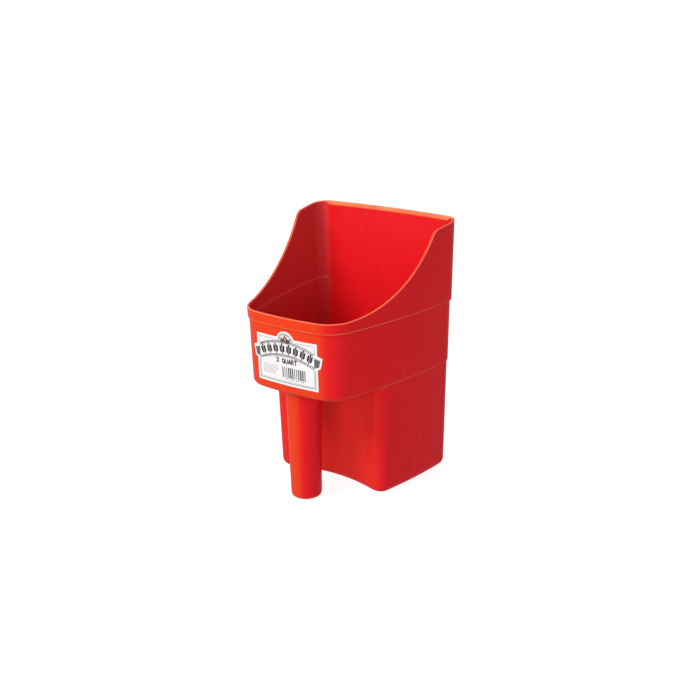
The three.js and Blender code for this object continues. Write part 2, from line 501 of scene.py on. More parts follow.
def join_and_cut(body: bpy.types.Object, add: bpy.types.Object, cut: bpy.types.Object) -> None:
    """Joins one solid to the body and cuts another out of it.

    Args:
        body: the solid that is changed.
        add: the solid to join, which is then removed.
        cut: the solid to cut out, which is then removed.
    """
    for other, operation in ((add, "UNION"), (cut, "DIFFERENCE")):
        modifier = body.modifiers.new(operation.lower(), "BOOLEAN")
        modifier.solver = "MANIFOLD"
        modifier.operation = operation
        modifier.object = other
    bpy.context.view_layer.update()
    graph = bpy.context.evaluated_depsgraph_get()
    finished = bpy.data.meshes.new_from_object(body.evaluated_get(graph))
    body.modifiers.clear()
    finished.name = body.data.name
    body.data = finished
    for other in (add, cut):
        bpy.data.objects.remove(other, do_unlink=True)


def convex_edges(mesh: bpy.types.Mesh) -> Array:
    """How sharply convex a mesh is at each point, where hands and grain rub it and where edge highlights are
    painted.

    Args:
        mesh: the mesh to measure.

    Returns:
        A value for each point, 0 to 1.
    """
    sharpest_radius, narrowest = 0.6 * MM, 0.2 * MM
    shape = bmesh.new()
    shape.from_mesh(mesh)
    shape.verts.ensure_lookup_table()
    bend = np.zeros(len(shape.verts))
    for vertex in shape.verts:
        sharpest = 0.0
        for edge in vertex.link_edges:
            if len(edge.link_faces) == 2:
                angle = edge.calc_face_angle_signed(0.0)
                sharpest = max(sharpest, angle / max(edge_gap(edge), narrowest) * sharpest_radius)
        bend[vertex.index] = min(sharpest, 1.0)
    shape.free()
    return bend


def edge_gap(edge: bmesh.types.BMEdge) -> float:
    """The mean distance, across an edge, between the middles of its two faces."""
    first, second = (face.calc_center_median() for face in edge.link_faces)
    return (first - second).length


# ---- The moulding ----------------------------------------------------------------------------------


@dataclass(frozen=True)
class Shelf:
    """How the skirt turns in under itself to reach the bin, on one face of the wall.

    Attributes:
        skirt: the skirt's outline.
        inwards: which way is inwards at each of its points.
        sweep: the angle through which the skirt's lower edge turns before the shelf begins.
        turn: how far inwards it has come by then.
        bin: the bin's outline.
        normal: the bin's outward normals.
        fillet: the radius where the shelf meets the bin.
        level: the shelf's height.
    """

    skirt: Array
    inwards: Array
    sweep: Array
    turn: Array
    bin: Array
    normal: Array
    fillet: Array
    level: Array


@dataclass
class Wear:
    """Where the moulding is rubbed pale, where highlights are painted on its edges, and where light and
    shade are painted into its colour, at each point of its mesh.

    Attributes:
        mould: the moulding's sizes.
        lip_height: how far down its bevelled lip reaches.
        mesh: its finished mesh.
    """

    mould: Mould
    lip_height: float
    mesh: bpy.types.Mesh

    # The way the painted key light comes from, in degrees, and how much of that painted light the bin gets,
    # which lies in shade under the skirt.
    SUNNY_AZIMUTH = -20
    SUNNY_ELEVATION = 8
    BIN_SHARE = 0.25
    # How squarely a wall must face the key light for the painted light, and inside how squarely it must face
    # sideways for the painted shade, for each to start and to finish.
    SUNNY_FROM, SUNNY_TO = 0.6, 0.95
    HANDLED_FROM, HANDLED_TO = 0.3, 0.85

    def __post_init__(self) -> None:
        """Reads where the points are, in millimetres, and which way they face."""
        self.place = np.array([tuple(vertex.co) for vertex in self.mesh.vertices]) / MM
        self.facing = np.array([tuple(vertex.normal) for vertex in self.mesh.vertices])

    def exposed(self) -> Array:
        """Where edges get their pale wear and painted highlight: 1 everywhere but in the knuckle hollow,
        which lies in shade, where it is 0.
        """
        m = self.mould
        x, y, z = self.place.T
        near = np.abs(y - m.bin_front - m.knuckle_hollow / 2) < m.knuckle_hollow
        in_hollow = near & (z < m.skirt_foot) & (z > m.bin_edge)
        return np.where(in_hollow & (np.abs(x) < m.bin_front_half + 2), 0.0, 1.0)

    def scooping_edge(self) -> Array:
        """A painted highlight along the back wall's bevelled lip, in the pale rubbed colour, from 0 to 1."""
        m = self.mould
        x, y, z = self.place.T
        foot = m.height - self.lip_height
        across = smooth(m.flat_back + 4, m.flat_back - 1, np.abs(x)) * smooth(0, 9, y - m.back_wall + 12)
        up = smooth(foot - 1.4, foot + 0.8, z)
        return across * up * smooth(0.0, 0.25, self.facing[:, 2])

    def rubbed(self) -> Array:
        """Where the plastic is rubbed pale on its convex edges, with painted highlights on those edges and
        on the back lip, from 0 to 1.
        """
        return np.maximum(convex_edges(self.mesh) * self.exposed(), self.scooping_edge())

    def faded(self) -> Array:
        """Where light and shade are painted into the colour, from 0 to 1.

        Returns:
            A value for each point: outside, the painted light where a wall faces the key light; inside, the
                painted shade on the side walls.
        """
        sun = np.array(direction(self.SUNNY_AZIMUTH, self.SUNNY_ELEVATION))
        sunny = smooth(self.SUNNY_FROM, self.SUNNY_TO, self.facing @ sun)
        _, y, z = self.place.T
        on_bin = (z < self.mould.skirt_foot - 1) & (y > self.mould.bin_front - 1)
        sunny = np.where(on_bin, sunny * self.BIN_SHARE, sunny)
        handled = smooth(self.HANDLED_FROM, self.HANDLED_TO, np.abs(self.facing[:, 0]))
        inside = np.zeros(len(self.mesh.vertices), dtype=bool)
        for face in self.mesh.polygons:
            if face.material_index == Moulding.INSIDE:
                inside[list(face.vertices)] = True
        return np.where(inside, handled, sunny)

    def mark(self) -> None:
        """Stores both on the mesh, for the finishes to read."""
        for name, values in (("worn_edge", self.rubbed()), ("faded", self.faded())):
            layer = self.mesh.attributes.new(name, "FLOAT", "POINT")
            layer.data.foreach_set("value", values.astype(np.float32))


@dataclass
class Moulding:
    """The scoop's one-piece body: hopper, skirt, bin and handle.

    Attributes:
        mould: the sizes it shares with the label.
        outer, inner: the finishes of its outside and inside.
        rim_round: the radius of the rim's outer edge.
        rim_ease: how far the rim's inner edge is eased.
        lip_width: how much of the back wall's thickness its bevelled lip takes.
        lip_height: how far down the bevelled lip reaches.
        crease_depth: the depth of the crease beside each post.
        crease_width: its half-width.
        crease_top: how far from the middle each crease is at the skirt's foot.
        crease_foot: how far from the middle each is at its lower end.
        crease_end: the height where the creases fade out.
        flute_depth: the depth of the shallow flutes on the bin's sides.
        flute_pitch: the distance from one flute to the next.
        step_length: the height over which the inside steps in at the hopper's foot.
        back_step_length: how much longer that is on the back wall.
    """

    mould: Mould
    outer: bpy.types.Material
    inner: bpy.types.Material
    rim_round: float = 0.6
    rim_ease: float = 0.6
    lip_width: float = 1.35
    lip_height: float = 4.4
    crease_depth: float = 1.9
    crease_width: float = 0.8
    crease_top: float = 44.6
    crease_foot: float = 48.6
    crease_end: float = 20
    flute_depth: float = 0.2
    flute_pitch: float = 10
    step_length: float = 3.4
    back_step_length: float = 30

    OUTSIDE, INSIDE = 0, 1
    SIDE_FRONT = 28
    FRONT_TURN = 24
    FRONT = 92
    SIDE = 130
    BACK_TURN = 24
    BACK = 80

    SHARP_ANGLE = 38

    # The rings: how many there are on each stretch of the wall.
    WALL_RINGS = 22
    SKIRT_RINGS = 18
    BIN_RINGS = 40
    BIN_INSIDE_RINGS = 24
    STEP_RINGS = 9
    SHELF_RINGS = 8
    EDGE_RINGS = 10
    RIM_RINGS = 6
    FILLET_RINGS = 5
    INNER_FILLET_RINGS = 6
    INNER_EDGE_RINGS = 8
    SKIRT_EDGE_RINGS = 9
    INNER_SKIRT_EDGE_RINGS = 7

    # Under the foot: the share of the way out from its middle, and the height there.
    FOOT_PROFILE = ((0.1, 0.9), (0.4, 0.9), (0.7, 0.9), (0.86, 0.9), (0.875, 0.75), (0.89, 0.15), (0.905, 0))
    # On the floor: the share of the way out from its middle.
    FLOOR_SHARES = (0.85, 0.6, 0.35, 0.1)
    # The ledge below the hopper: the inset, and the height from the hopper's foot.
    LEDGE_PROFILE = ((1.22, -0.2), (1.0, -0.05), (0.62, 0), (0.3, 0.08), (0.1, 0.28), (0, 0.6))
    LEDGE_START = 0.5
    SKIRT_START = 2.7
    OUTER_FILLET = 2.0
    INNER_FILLET = 2.2
    INNER_STEP_RISE = 1.5
    # Under the handle: how far inside its radius, and the height there.
    HANDLE_PROFILE = ((6.0, 0.8), (5.4, 0.7), (4.8, 0.1), (4.3, 0))
    HANDLE_FLARE = 2.6
    CAVITY_LIP = 1.0

    def back_part(self, inset: float) -> Array:
        """The sides and back, from the right junction round to the left one, which every band shares.

        Args:
            inset: how far inside the hopper's outside.

        Returns:
            The outline's points.
        """
        m = self.mould
        walls = m.walls(inset)
        right, back, left = walls["right"], walls["back"], walls["left"]
        cut = m.back_corner - inset
        side = cut / np.linalg.norm(right.end - right.start)
        end = cut / np.linalg.norm(back.end - back.start)
        return np.vstack(
            [
                right.at(span(m.junction, 1 - side, self.SIDE)),
                corner(right, 1 - side, back, end, self.BACK_TURN),
                back.at(span(end, 1 - end, self.BACK)),
                corner(back, 1 - end, left, side, self.BACK_TURN),
                left.at(span(side, 1 - m.junction, self.SIDE)),
            ]
        )

    def upper(self, inset: float) -> Array:
        """The hopper's and the skirt's outline.

        Args:
            inset: how far inside the hopper's outside.

        Returns:
            The outline's points, from the left junction anticlockwise.
        """
        m = self.mould
        walls = m.walls(inset)
        left, front, right = walls["left"], walls["front"], walls["right"]
        cut = m.front_corner - inset
        side = cut / np.linalg.norm(right.end - right.start)
        end = cut / np.linalg.norm(front.end - front.start)
        return np.vstack(
            [
                left.at(span(1 - m.junction, 1 - side, self.SIDE_FRONT)),
                corner(left, 1 - side, front, end, self.FRONT_TURN),
                front.at(span(end, 1 - end, self.FRONT)),
                corner(front, 1 - end, right, side, self.FRONT_TURN),
                right.at(span(side, m.junction, self.SIDE_FRONT)),
                self.back_part(inset),
            ]
        )

    def lower(self, inset: float) -> Array:
        """The bin's outline, with the knuckle hollow in front of it.

        Args:
            inset: how far inside the hopper's outside.

        Returns:
            The outline's points, each matching one of the upper outline's.
        """
        m = self.mould
        walls = m.walls(inset)
        deeper = inset - m.bin_inset
        half = m.bin_front_half - deeper / 2
        y = m.bin_front + deeper
        front = Wall(np.array([-half, y]), np.array([half, y]), -m.knuckle_hollow)
        even = span(0, 1, self.FRONT + 2 * self.FRONT_TURN)
        return np.vstack(
            [
                corner(walls["left"], 1 - m.junction, front, 0, self.SIDE_FRONT),
                front.at((1 - np.cos(math.pi * even)) / 2),
                corner(front, 1, walls["right"], m.junction, self.SIDE_FRONT),
                self.back_part(inset),
            ]
        )

    def rim_height(self) -> Array:
        """The rim's height above each point of the outline."""
        y_profile, z_profile = self.mould.rim_profile()
        outline = self.upper(0)
        height = np.full(len(outline), self.mould.height)
        for _ in range(6):
            y = self.mould.leaned(outline, height)[:, 1]
            height = np.interp(y, y_profile, z_profile)
        return height

    def rim_stretch(self, height: Array) -> Array:
        """How much longer a square cut across the sloping rim is when it's taken upright.

        Args:
            height: the rim's height at each point.

        Returns:
            1 where the rim is level, and more where it climbs.
        """
        rim = self.mould.leaned(self.upper(0), height)
        step = np.roll(rim, -1, axis=0) - np.roll(rim, 1, axis=0)
        run = np.linalg.norm(step[:, :2], axis=1)
        return np.sqrt(1 + (step[:, 2] / run) ** 2)

    def lip(self) -> Array:
        """1 on the back wall, where the lip is bevelled, and 0 everywhere else."""
        m = self.mould
        outline = self.upper(0)
        across = smooth(m.flat_back + 3, m.flat_back - 2, np.abs(outline[:, 0]))
        return across * smooth(m.back_wall - 9, m.back_wall - 6, outline[:, 1])

    def creases(self, outline: Array, z: Array) -> Array:
        """How deep the crease beside each post is, at each point of the bin.

        Args:
            outline: the bin's outline.
            z: the height of each point.

        Returns:
            The depths.
        """
        m = self.mould
        rise = (z - self.crease_end) / (m.skirt_foot - self.crease_end)
        place = self.crease_foot + (self.crease_top - self.crease_foot) * rise
        across = np.exp(-(((np.abs(outline[:, 0]) - place) / self.crease_width) ** 2))
        in_front = smooth(m.bin_front + 1.6, m.bin_front + 0.2, outline[:, 1])
        return self.crease_depth * across * in_front * smooth(-0.12, 0.3, rise)

    def flutes(self, outline: Array, z: Array) -> Array:
        """How deep the flutes on the bin's sides are, at each point of the bin.

        Args:
            outline: the bin's outline.
            z: the height of each point.

        Returns:
            The depths.
        """
        m = self.mould
        y = outline[:, 1]
        start = m.bin_front + m.post_turn + self.flute_pitch
        end = m.back_wall - m.back_corner
        on_side = smooth(start, start + 12, y) * smooth(end + 2, end - 6, y)
        upright = smooth(m.bin_edge + 2, m.bin_edge + 14, z) * smooth(m.skirt_foot, m.skirt_foot - 8, z)
        wave = (1 - np.cos(2 * math.pi * (y - start) / self.flute_pitch)) / 2
        return self.flute_depth * wave * on_side * upright

    def dented(self, outline: Array, z: Array) -> Array:
        """The bin's outside with its creases and flutes.

        Args:
            outline: the bin's outline.
            z: the height of each point.

        Returns:
            The outline, moved inwards where it is dented.
        """
        depth = self.creases(outline, z) + self.flutes(outline, z)
        return outline - outward_normals(outline) * depth[:, None]

    def shelf(self, inset: float, wall: float, edge: float, blend: float) -> Shelf:
        """Measures the shelf on one face of the wall.

        Args:
            inset: the skirt's inset on this face.
            wall: how far this face lies behind the outside, along the same wall.
            edge: the radius of the skirt's rounded lower edge on this face.
            blend: the radius where the shelf meets the bin.

        Returns:
            The shelf.
        """
        m = self.mould
        skirt = self.upper(inset)
        inwards = (self.upper(inset + edge) - skirt) / edge
        bin_outline = self.lower(m.bin_inset + wall)
        room = -np.einsum("ij,ij->i", bin_outline - skirt, outward_normals(skirt))
        turn = np.clip(room, 0.02, edge)
        sweep = np.arccos(1 - turn / edge)
        flat = np.clip(np.linalg.norm(bin_outline - skirt, axis=1) - turn, 0.001, None)
        fillet = np.minimum(blend, flat * 0.35)
        level = m.skirt_foot + wall + edge * (1 - np.sin(sweep))
        return Shelf(skirt, inwards, sweep, turn, bin_outline, outward_normals(bin_outline), fillet, level)

    def upright(self, outline: Array, start: Array | float, end: Array | float, count: int) -> list[Array]:
        """Rings up or down one wall, at even steps.

        Args:
            outline: the wall's outline.
            start: the height to start at, which gets no ring.
            end: the height of the last ring.
            count: how many rings, counting the one that is left out.

        Returns:
            The rings.
        """
        return [self.mould.leaned(outline, start + (end - start) * part) for part in steps_to(1, count)]

    def turned_edge(self, shelf: Shelf, radius: float, foot: float, shares: Array) -> list[Array]:
        """The rings round the skirt's lower edge.

        Args:
            shelf: the shelf on this face.
            radius: the edge's radius.
            foot: the height of its lowest point.
            shares: the share of its sweep at each ring.

        Returns:
            The rings.
        """
        rings = []
        for share in shares:
            angle = shelf.sweep * share
            inwards = radius * (1 - np.cos(angle))
            outline = shelf.skirt + shelf.inwards * inwards[:, None]
            rings.append(self.mould.leaned(outline, foot + radius * (1 - np.sin(angle))))
        return rings

    def foot(self) -> list[Array]:
        """The rings under the foot, round its recess, and round its lower edge."""
        m = self.mould
        flat = self.lower(m.bin_inset + m.bin_edge)
        rings = [m.leaned(m.bin_middle + (flat - m.bin_middle) * share, z) for share, z in self.FOOT_PROFILE]
        for angle in np.linspace(0, QUARTER_TURN, self.EDGE_RINGS)[:-1]:
            inset = m.bin_inset + m.bin_edge * (1 - math.sin(angle))
            rings.append(m.leaned(self.lower(inset), m.bin_edge * (1 - math.cos(angle))))
        return rings

    def bin_sides(self, shelf: Shelf) -> list[Array]:
        """The rings up the bin's outside, out under the shelf and round up into the skirt.

        Args:
            shelf: the outside's shelf.

        Returns:
            The rings, from the bin's foot outwards.
        """
        m = self.mould
        top = shelf.level - shelf.fillet
        rings = []
        for part in np.linspace(0, 1, self.BIN_RINGS):
            z = m.bin_edge + (top - m.bin_edge) * part
            rings.append(m.leaned(self.dented(shelf.bin, z), z))
        for angle in steps_to(QUARTER_TURN, self.FILLET_RINGS):
            out = shelf.fillet * (1 - math.cos(angle))
            z = shelf.level - shelf.fillet * (1 - math.sin(angle))
            rings.append(m.leaned(self.dented(shelf.bin, z) + shelf.normal * out[:, None], z))
        inner = rings[-1]
        outer = m.leaned(shelf.skirt + shelf.inwards * shelf.turn[:, None], shelf.level)
        rings += [inner + (outer - inner) * part for part in steps_to(1, self.SHELF_RINGS)]
        shares = np.linspace(1, 0, self.SKIRT_EDGE_RINGS)[1:]
        return rings + self.turned_edge(shelf, m.skirt_edge, m.skirt_foot, shares)

    def outside(self, rim: Array, stretch: Array) -> list[Array]:
        """The outside's rings, from under the foot up to the rim.

        Args:
            rim: the rim's height at each point.
            stretch: how much the sloping rim lengthens an upright cut.

        Returns:
            The rings, bottom first.
        """
        m = self.mould
        shelf = self.shelf(m.hopper_step, 0, m.skirt_edge, self.OUTER_FILLET)
        skirt_start = shelf.level.max() + self.SKIRT_START
        rings = self.foot() + self.bin_sides(shelf)
        rings += self.upright(shelf.skirt, skirt_start, m.hopper_foot - self.LEDGE_START, self.SKIRT_RINGS)
        rings += [m.leaned(self.upper(inset), m.hopper_foot + rise) for inset, rise in self.LEDGE_PROFILE]
        wall_start = m.hopper_foot + self.LEDGE_PROFILE[-1][1]
        rings += self.upright(self.upper(0), wall_start, rim - self.rim_round * stretch, self.WALL_RINGS)
        for angle in steps_to(QUARTER_TURN, self.RIM_RINGS):
            z = rim - self.rim_round * (1 - math.sin(angle)) * stretch
            rings.append(m.leaned(self.upper(self.rim_round * (1 - math.cos(angle))), z))
        return rings

    def eased_rim(self, rim: Array, lip: Array, reach: Array) -> list[Array]:
        """The rings over the rim's inner edge, which is bevelled on the back wall's lip.

        Args:
            rim: the rim's height at each point.
            lip: where the lip is.
            reach: how far down the edge reaches.

        Returns:
            The rings, top first.
        """
        m = self.mould
        ease = self.rim_ease + (self.lip_width - self.rim_ease) * lip
        outer = self.upper(0)
        across = (self.upper(m.wall) - outer) / m.wall
        rings = []
        for angle in np.linspace(0, QUARTER_TURN, self.EDGE_RINGS):
            inset = m.wall - ease * (1 - math.sin(angle))
            drop = reach * (1 - math.cos(angle)) ** (1 - 0.25 * lip)
            rings.append(m.leaned(outer + across * inset[:, None], rim - drop))
        return rings

    def inside(self, rim: Array, stretch: Array) -> list[Array]:
        """The inside's rings, from the rim down to the bin's floor.

        Args:
            rim: the rim's height at each point.
            stretch: how much the sloping rim lengthens an upright cut.

        Returns:
            The rings, top first.
        """
        m = self.mould
        lip = self.lip()
        reach = self.rim_ease * stretch * (1 - lip) + self.lip_height * lip
        step = m.hopper_foot + self.INNER_STEP_RISE
        length = self.step_length + self.back_step_length * lip
        edge = m.skirt_edge - m.wall
        shelf = self.shelf(m.hopper_step + m.wall, m.wall, edge, self.INNER_FILLET)
        rings = self.eased_rim(rim, lip, reach)
        rings += self.upright(self.upper(m.wall), rim - reach, step, self.WALL_RINGS)
        for part in np.linspace(0, 1, self.STEP_RINGS):
            deeper = m.hopper_step * float(smooth(0, 1, part))
            rings.append(m.leaned(self.upper(m.wall + deeper), step - length * part))
        rings += self.upright(shelf.skirt, step - length, m.skirt_foot + m.wall + edge, self.SKIRT_RINGS)
        return rings + self.over_shelf(shelf, edge) + self.bin_inside(shelf)

    def over_shelf(self, shelf: Shelf, edge: float) -> list[Array]:
        """The rings that turn in at the skirt's foot, cross the shelf and turn down into the bin.

        Args:
            shelf: the inside's shelf.
            edge: the radius of the turn at the skirt's foot.

        Returns:
            The rings, from the skirt inwards.
        """
        m = self.mould
        shares = steps_to(1, self.INNER_SKIRT_EDGE_RINGS)
        rings = self.turned_edge(shelf, edge, m.skirt_foot + m.wall, shares)
        outer = rings[-1]
        normal = shelf.normal * shelf.fillet[:, None]
        inner = m.leaned(shelf.bin + normal, shelf.level)
        rings += [outer + (inner - outer) * part for part in steps_to(1, self.SHELF_RINGS)]
        for angle in steps_to(QUARTER_TURN, self.INNER_FILLET_RINGS):
            z = shelf.level - shelf.fillet * (1 - math.cos(angle))
            rings.append(m.leaned(shelf.bin + normal * (1 - math.sin(angle)), z))
        return rings

    def bin_inside(self, shelf: Shelf) -> list[Array]:
        """The rings down the bin's inside and over its floor.

        Args:
            shelf: the inside's shelf.

        Returns:
            The rings, top first.
        """
        m = self.mould
        edge = m.bin_edge - m.wall
        rings = self.upright(shelf.bin, shelf.level - shelf.fillet, m.floor + edge, self.BIN_INSIDE_RINGS)
        for angle in steps_to(QUARTER_TURN, self.INNER_EDGE_RINGS):
            inset = m.bin_inset + m.wall + edge * (1 - math.cos(angle))
            rings.append(m.leaned(self.lower(inset), m.floor + edge * (1 - math.sin(angle))))
        flat = self.lower(m.bin_inset + m.wall + edge)
        for share in self.FLOOR_SHARES:
            rings.append(m.leaned(m.bin_middle + (flat - m.bin_middle) * share, m.floor))
        return rings

    def handle(self) -> tuple[bpy.types.Object, bpy.types.Object]:
        """The handle's outside, flared where it meets the shelf, and its cavity.

        Returns:
            The solid to join to the body and the one to cut out of it.
        """
        m = self.mould
        taper = (m.handle_top_radius - m.handle_foot_radius) / m.skirt_foot
        foot, edge, flare = m.handle_foot_radius, m.handle_edge, self.HANDLE_FLARE
        outer: Points = [(foot - inset, z) for inset, z in self.HANDLE_PROFILE]
        outer += arc((foot - edge, edge), edge, -90, 0, 9)
        base = m.skirt_foot - flare
        outer += [(foot + taper * z, z) for z in np.linspace(edge + 3, base - 3, 24)]
        outer += arc((foot + taper * base + flare, base), flare, 180, 98, 9)
        outer.append((outer[-1][0], m.skirt_foot + 0.9))
        ease, lip = edge - m.wall / 2, self.CAVITY_LIP
        hollow_foot = foot - m.wall
        inner: Points = arc((hollow_foot - ease, m.floor + ease), ease, -90, 0, 7)
        top = m.skirt_foot + m.wall
        inner += [(hollow_foot + taper * z, z) for z in np.linspace(m.floor + 6, top - 3, 20)]
        inner += arc((hollow_foot + taper * top + lip, top - lip), lip, 180, 100, 6)
        inner.append((inner[-1][0] + 0.4, top + 3))
        axis, shear = (0.0, m.handle_y), m.handle_lean / m.skirt_foot
        return turned("handle_outside", outer, axis, shear), turned("handle_cavity", inner, axis, shear)

    def paint(self, solid: bpy.types.Object, outside_faces: int) -> None:
        """Gives a solid its outside and inside finishes.

        Args:
            solid: the solid, whose outside faces come first.
            outside_faces: how many of its faces are outside.
        """
        mesh = solid.data
        for material in (self.outer, self.inner):
            mesh.materials.append(material)
        slots = [self.OUTSIDE if face < outside_faces else self.INSIDE for face in range(len(mesh.polygons))]
        mesh.polygons.foreach_set("material_index", slots)

    def build(self) -> bpy.types.Object:
        """Makes the whole moulding.

        Returns:
            The object, riding on the scoop and standing for its CAD solid.
        """
        rim = self.rim_height()
        stretch = self.rim_stretch(rim)
        outside, inside = self.outside(rim, stretch), self.inside(rim, stretch)
        ends = self.FOOT_PROFILE[0][1], self.mould.floor
        below, above = (np.array([*self.mould.bin_middle, z]) for z in ends)
        body = add_object("red_moulding", loft("red_moulding", outside + inside, below, above))
        self.paint(body, len(outside) * len(rim))
        grip, cavity = self.handle()
        self.paint(grip, len(grip.data.polygons))
        self.paint(cavity, 0)
        join_and_cut(body, grip, cavity)
        body.data.shade_smooth()
        body.data.set_sharp_from_angle(angle=math.radians(self.SHARP_ANGLE))
        body.modifiers.new("even_shading", "WEIGHTED_NORMAL").keep_sharp = True
        Wear(self.mould, self.lip_height, body.data).mark()
        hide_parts("scoop_body")
        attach(body, BODY)
        return body


# ---- The label -------------------------------------------------------------------------------------


class Ink(Enum):
    """What a patch of the label is printed with, by its material slot."""

    PAPER = 0
    BLACK = 1
    GREY = 2
    TEAL = 3
    RUSSET = 4


@dataclass(frozen=True)
class Patch:
    """One printed shape on the label.

    Attributes:
        ink: what it is printed with.
        outline: its corners across and up the label.
    """

    ink: Ink
    outline: Points

    def loop(self, longest: float) -> Points:
        """The outline, anticlockwise, with its long sides divided so that they can follow a curve.

        Args:
            longest: the longest side that is left whole.

        Returns:
            The corners and the points between them.
        """
        around = list(zip(self.outline, self.outline[1:] + self.outline[:1]))
        turning = sum(x0 * z1 - x1 * z0 for (x0, z0), (x1, z1) in around)
        points: Points = []
        for (x0, z0), (x1, z1) in around:
            count = max(1, math.ceil(math.hypot(x1 - x0, z1 - z0) / longest))
            points += [(x0 + (x1 - x0) * i / count, z0 + (z1 - z0) * i / count) for i in range(count)]
        return points if turning > 0 else points[::-1]


def stroke(ink: Ink, path: Points, width: float) -> list[Patch]:
    """A pen line along a path.

    Args:
        ink: what it is drawn with.
        path: the points it joins.
        width: its width.

    Returns:
        One patch for each straight length.
    """
    patches = []
    for (x0, z0), (x1, z1) in zip(path, path[1:]):
        length = math.hypot(x1 - x0, z1 - z0)
        ax, az = (x1 - x0) / length * width / 2, (z1 - z0) / length * width / 2
        start, end = (x0 - ax * 0.6, z0 - az * 0.6), (x1 + ax * 0.6, z1 + az * 0.6)
        outline = [
            (start[0] + az, start[1] - ax),
            (end[0] + az, end[1] - ax),
            (end[0] - az, end[1] + ax),
            (start[0] - az, start[1] + ax),
        ]
        patches.append(Patch(ink, outline))
    return patches


def oval(ink: Ink, centre: tuple[float, float], long: float, short: float, tilt: float) -> Patch:
    """An oval, such as a kernel of grain.

    Args:
        ink: what it is printed with.
        centre: its middle.
        long: half its length.
        short: half its width.
        tilt: how far it leans from upright, in degrees.

    Returns:
        The patch.
    """
    lean = math.radians(tilt)
    outline = []
    for angle in np.linspace(0, 2 * math.pi, 13)[:-1]:
        across, up = short * math.sin(angle), long * math.cos(angle)
        x = centre[0] + across * math.cos(lean) + up * math.sin(lean)
        z = centre[1] - across * math.sin(lean) + up * math.cos(lean)
        outline.append((x, z))
    return Patch(ink, outline)


def ear_of_grain(ink: Ink, foot: tuple[float, float], height: float, tilt: float) -> list[Patch]:
    """An ear of grain: a stalk with pairs of kernels and one at the tip.

    Args:
        ink: what it is printed with.
        foot: the bottom of the stalk.
        height: the height over all.
        tilt: how far it leans from upright, in degrees.

    Returns:
        Its patches.
    """
    lean = math.radians(tilt)
    up = height * np.array([math.sin(lean), math.cos(lean)])
    side = height * np.array([math.cos(lean), -math.sin(lean)])
    kernels = [(0.18 * hand, row, 34 * hand) for row in (0.3, 0.5, 0.7) for hand in (-1, 1)]
    long, short = 0.175 * height, 0.098 * height
    patches = stroke(ink, [foot, tuple(foot + 0.8 * up)], 0.09 * height)
    for across, along, splay in [*kernels, (0, 0.88, 0)]:
        patches.append(oval(ink, tuple(foot + across * side + along * up), long, short, tilt + splay))
    return patches


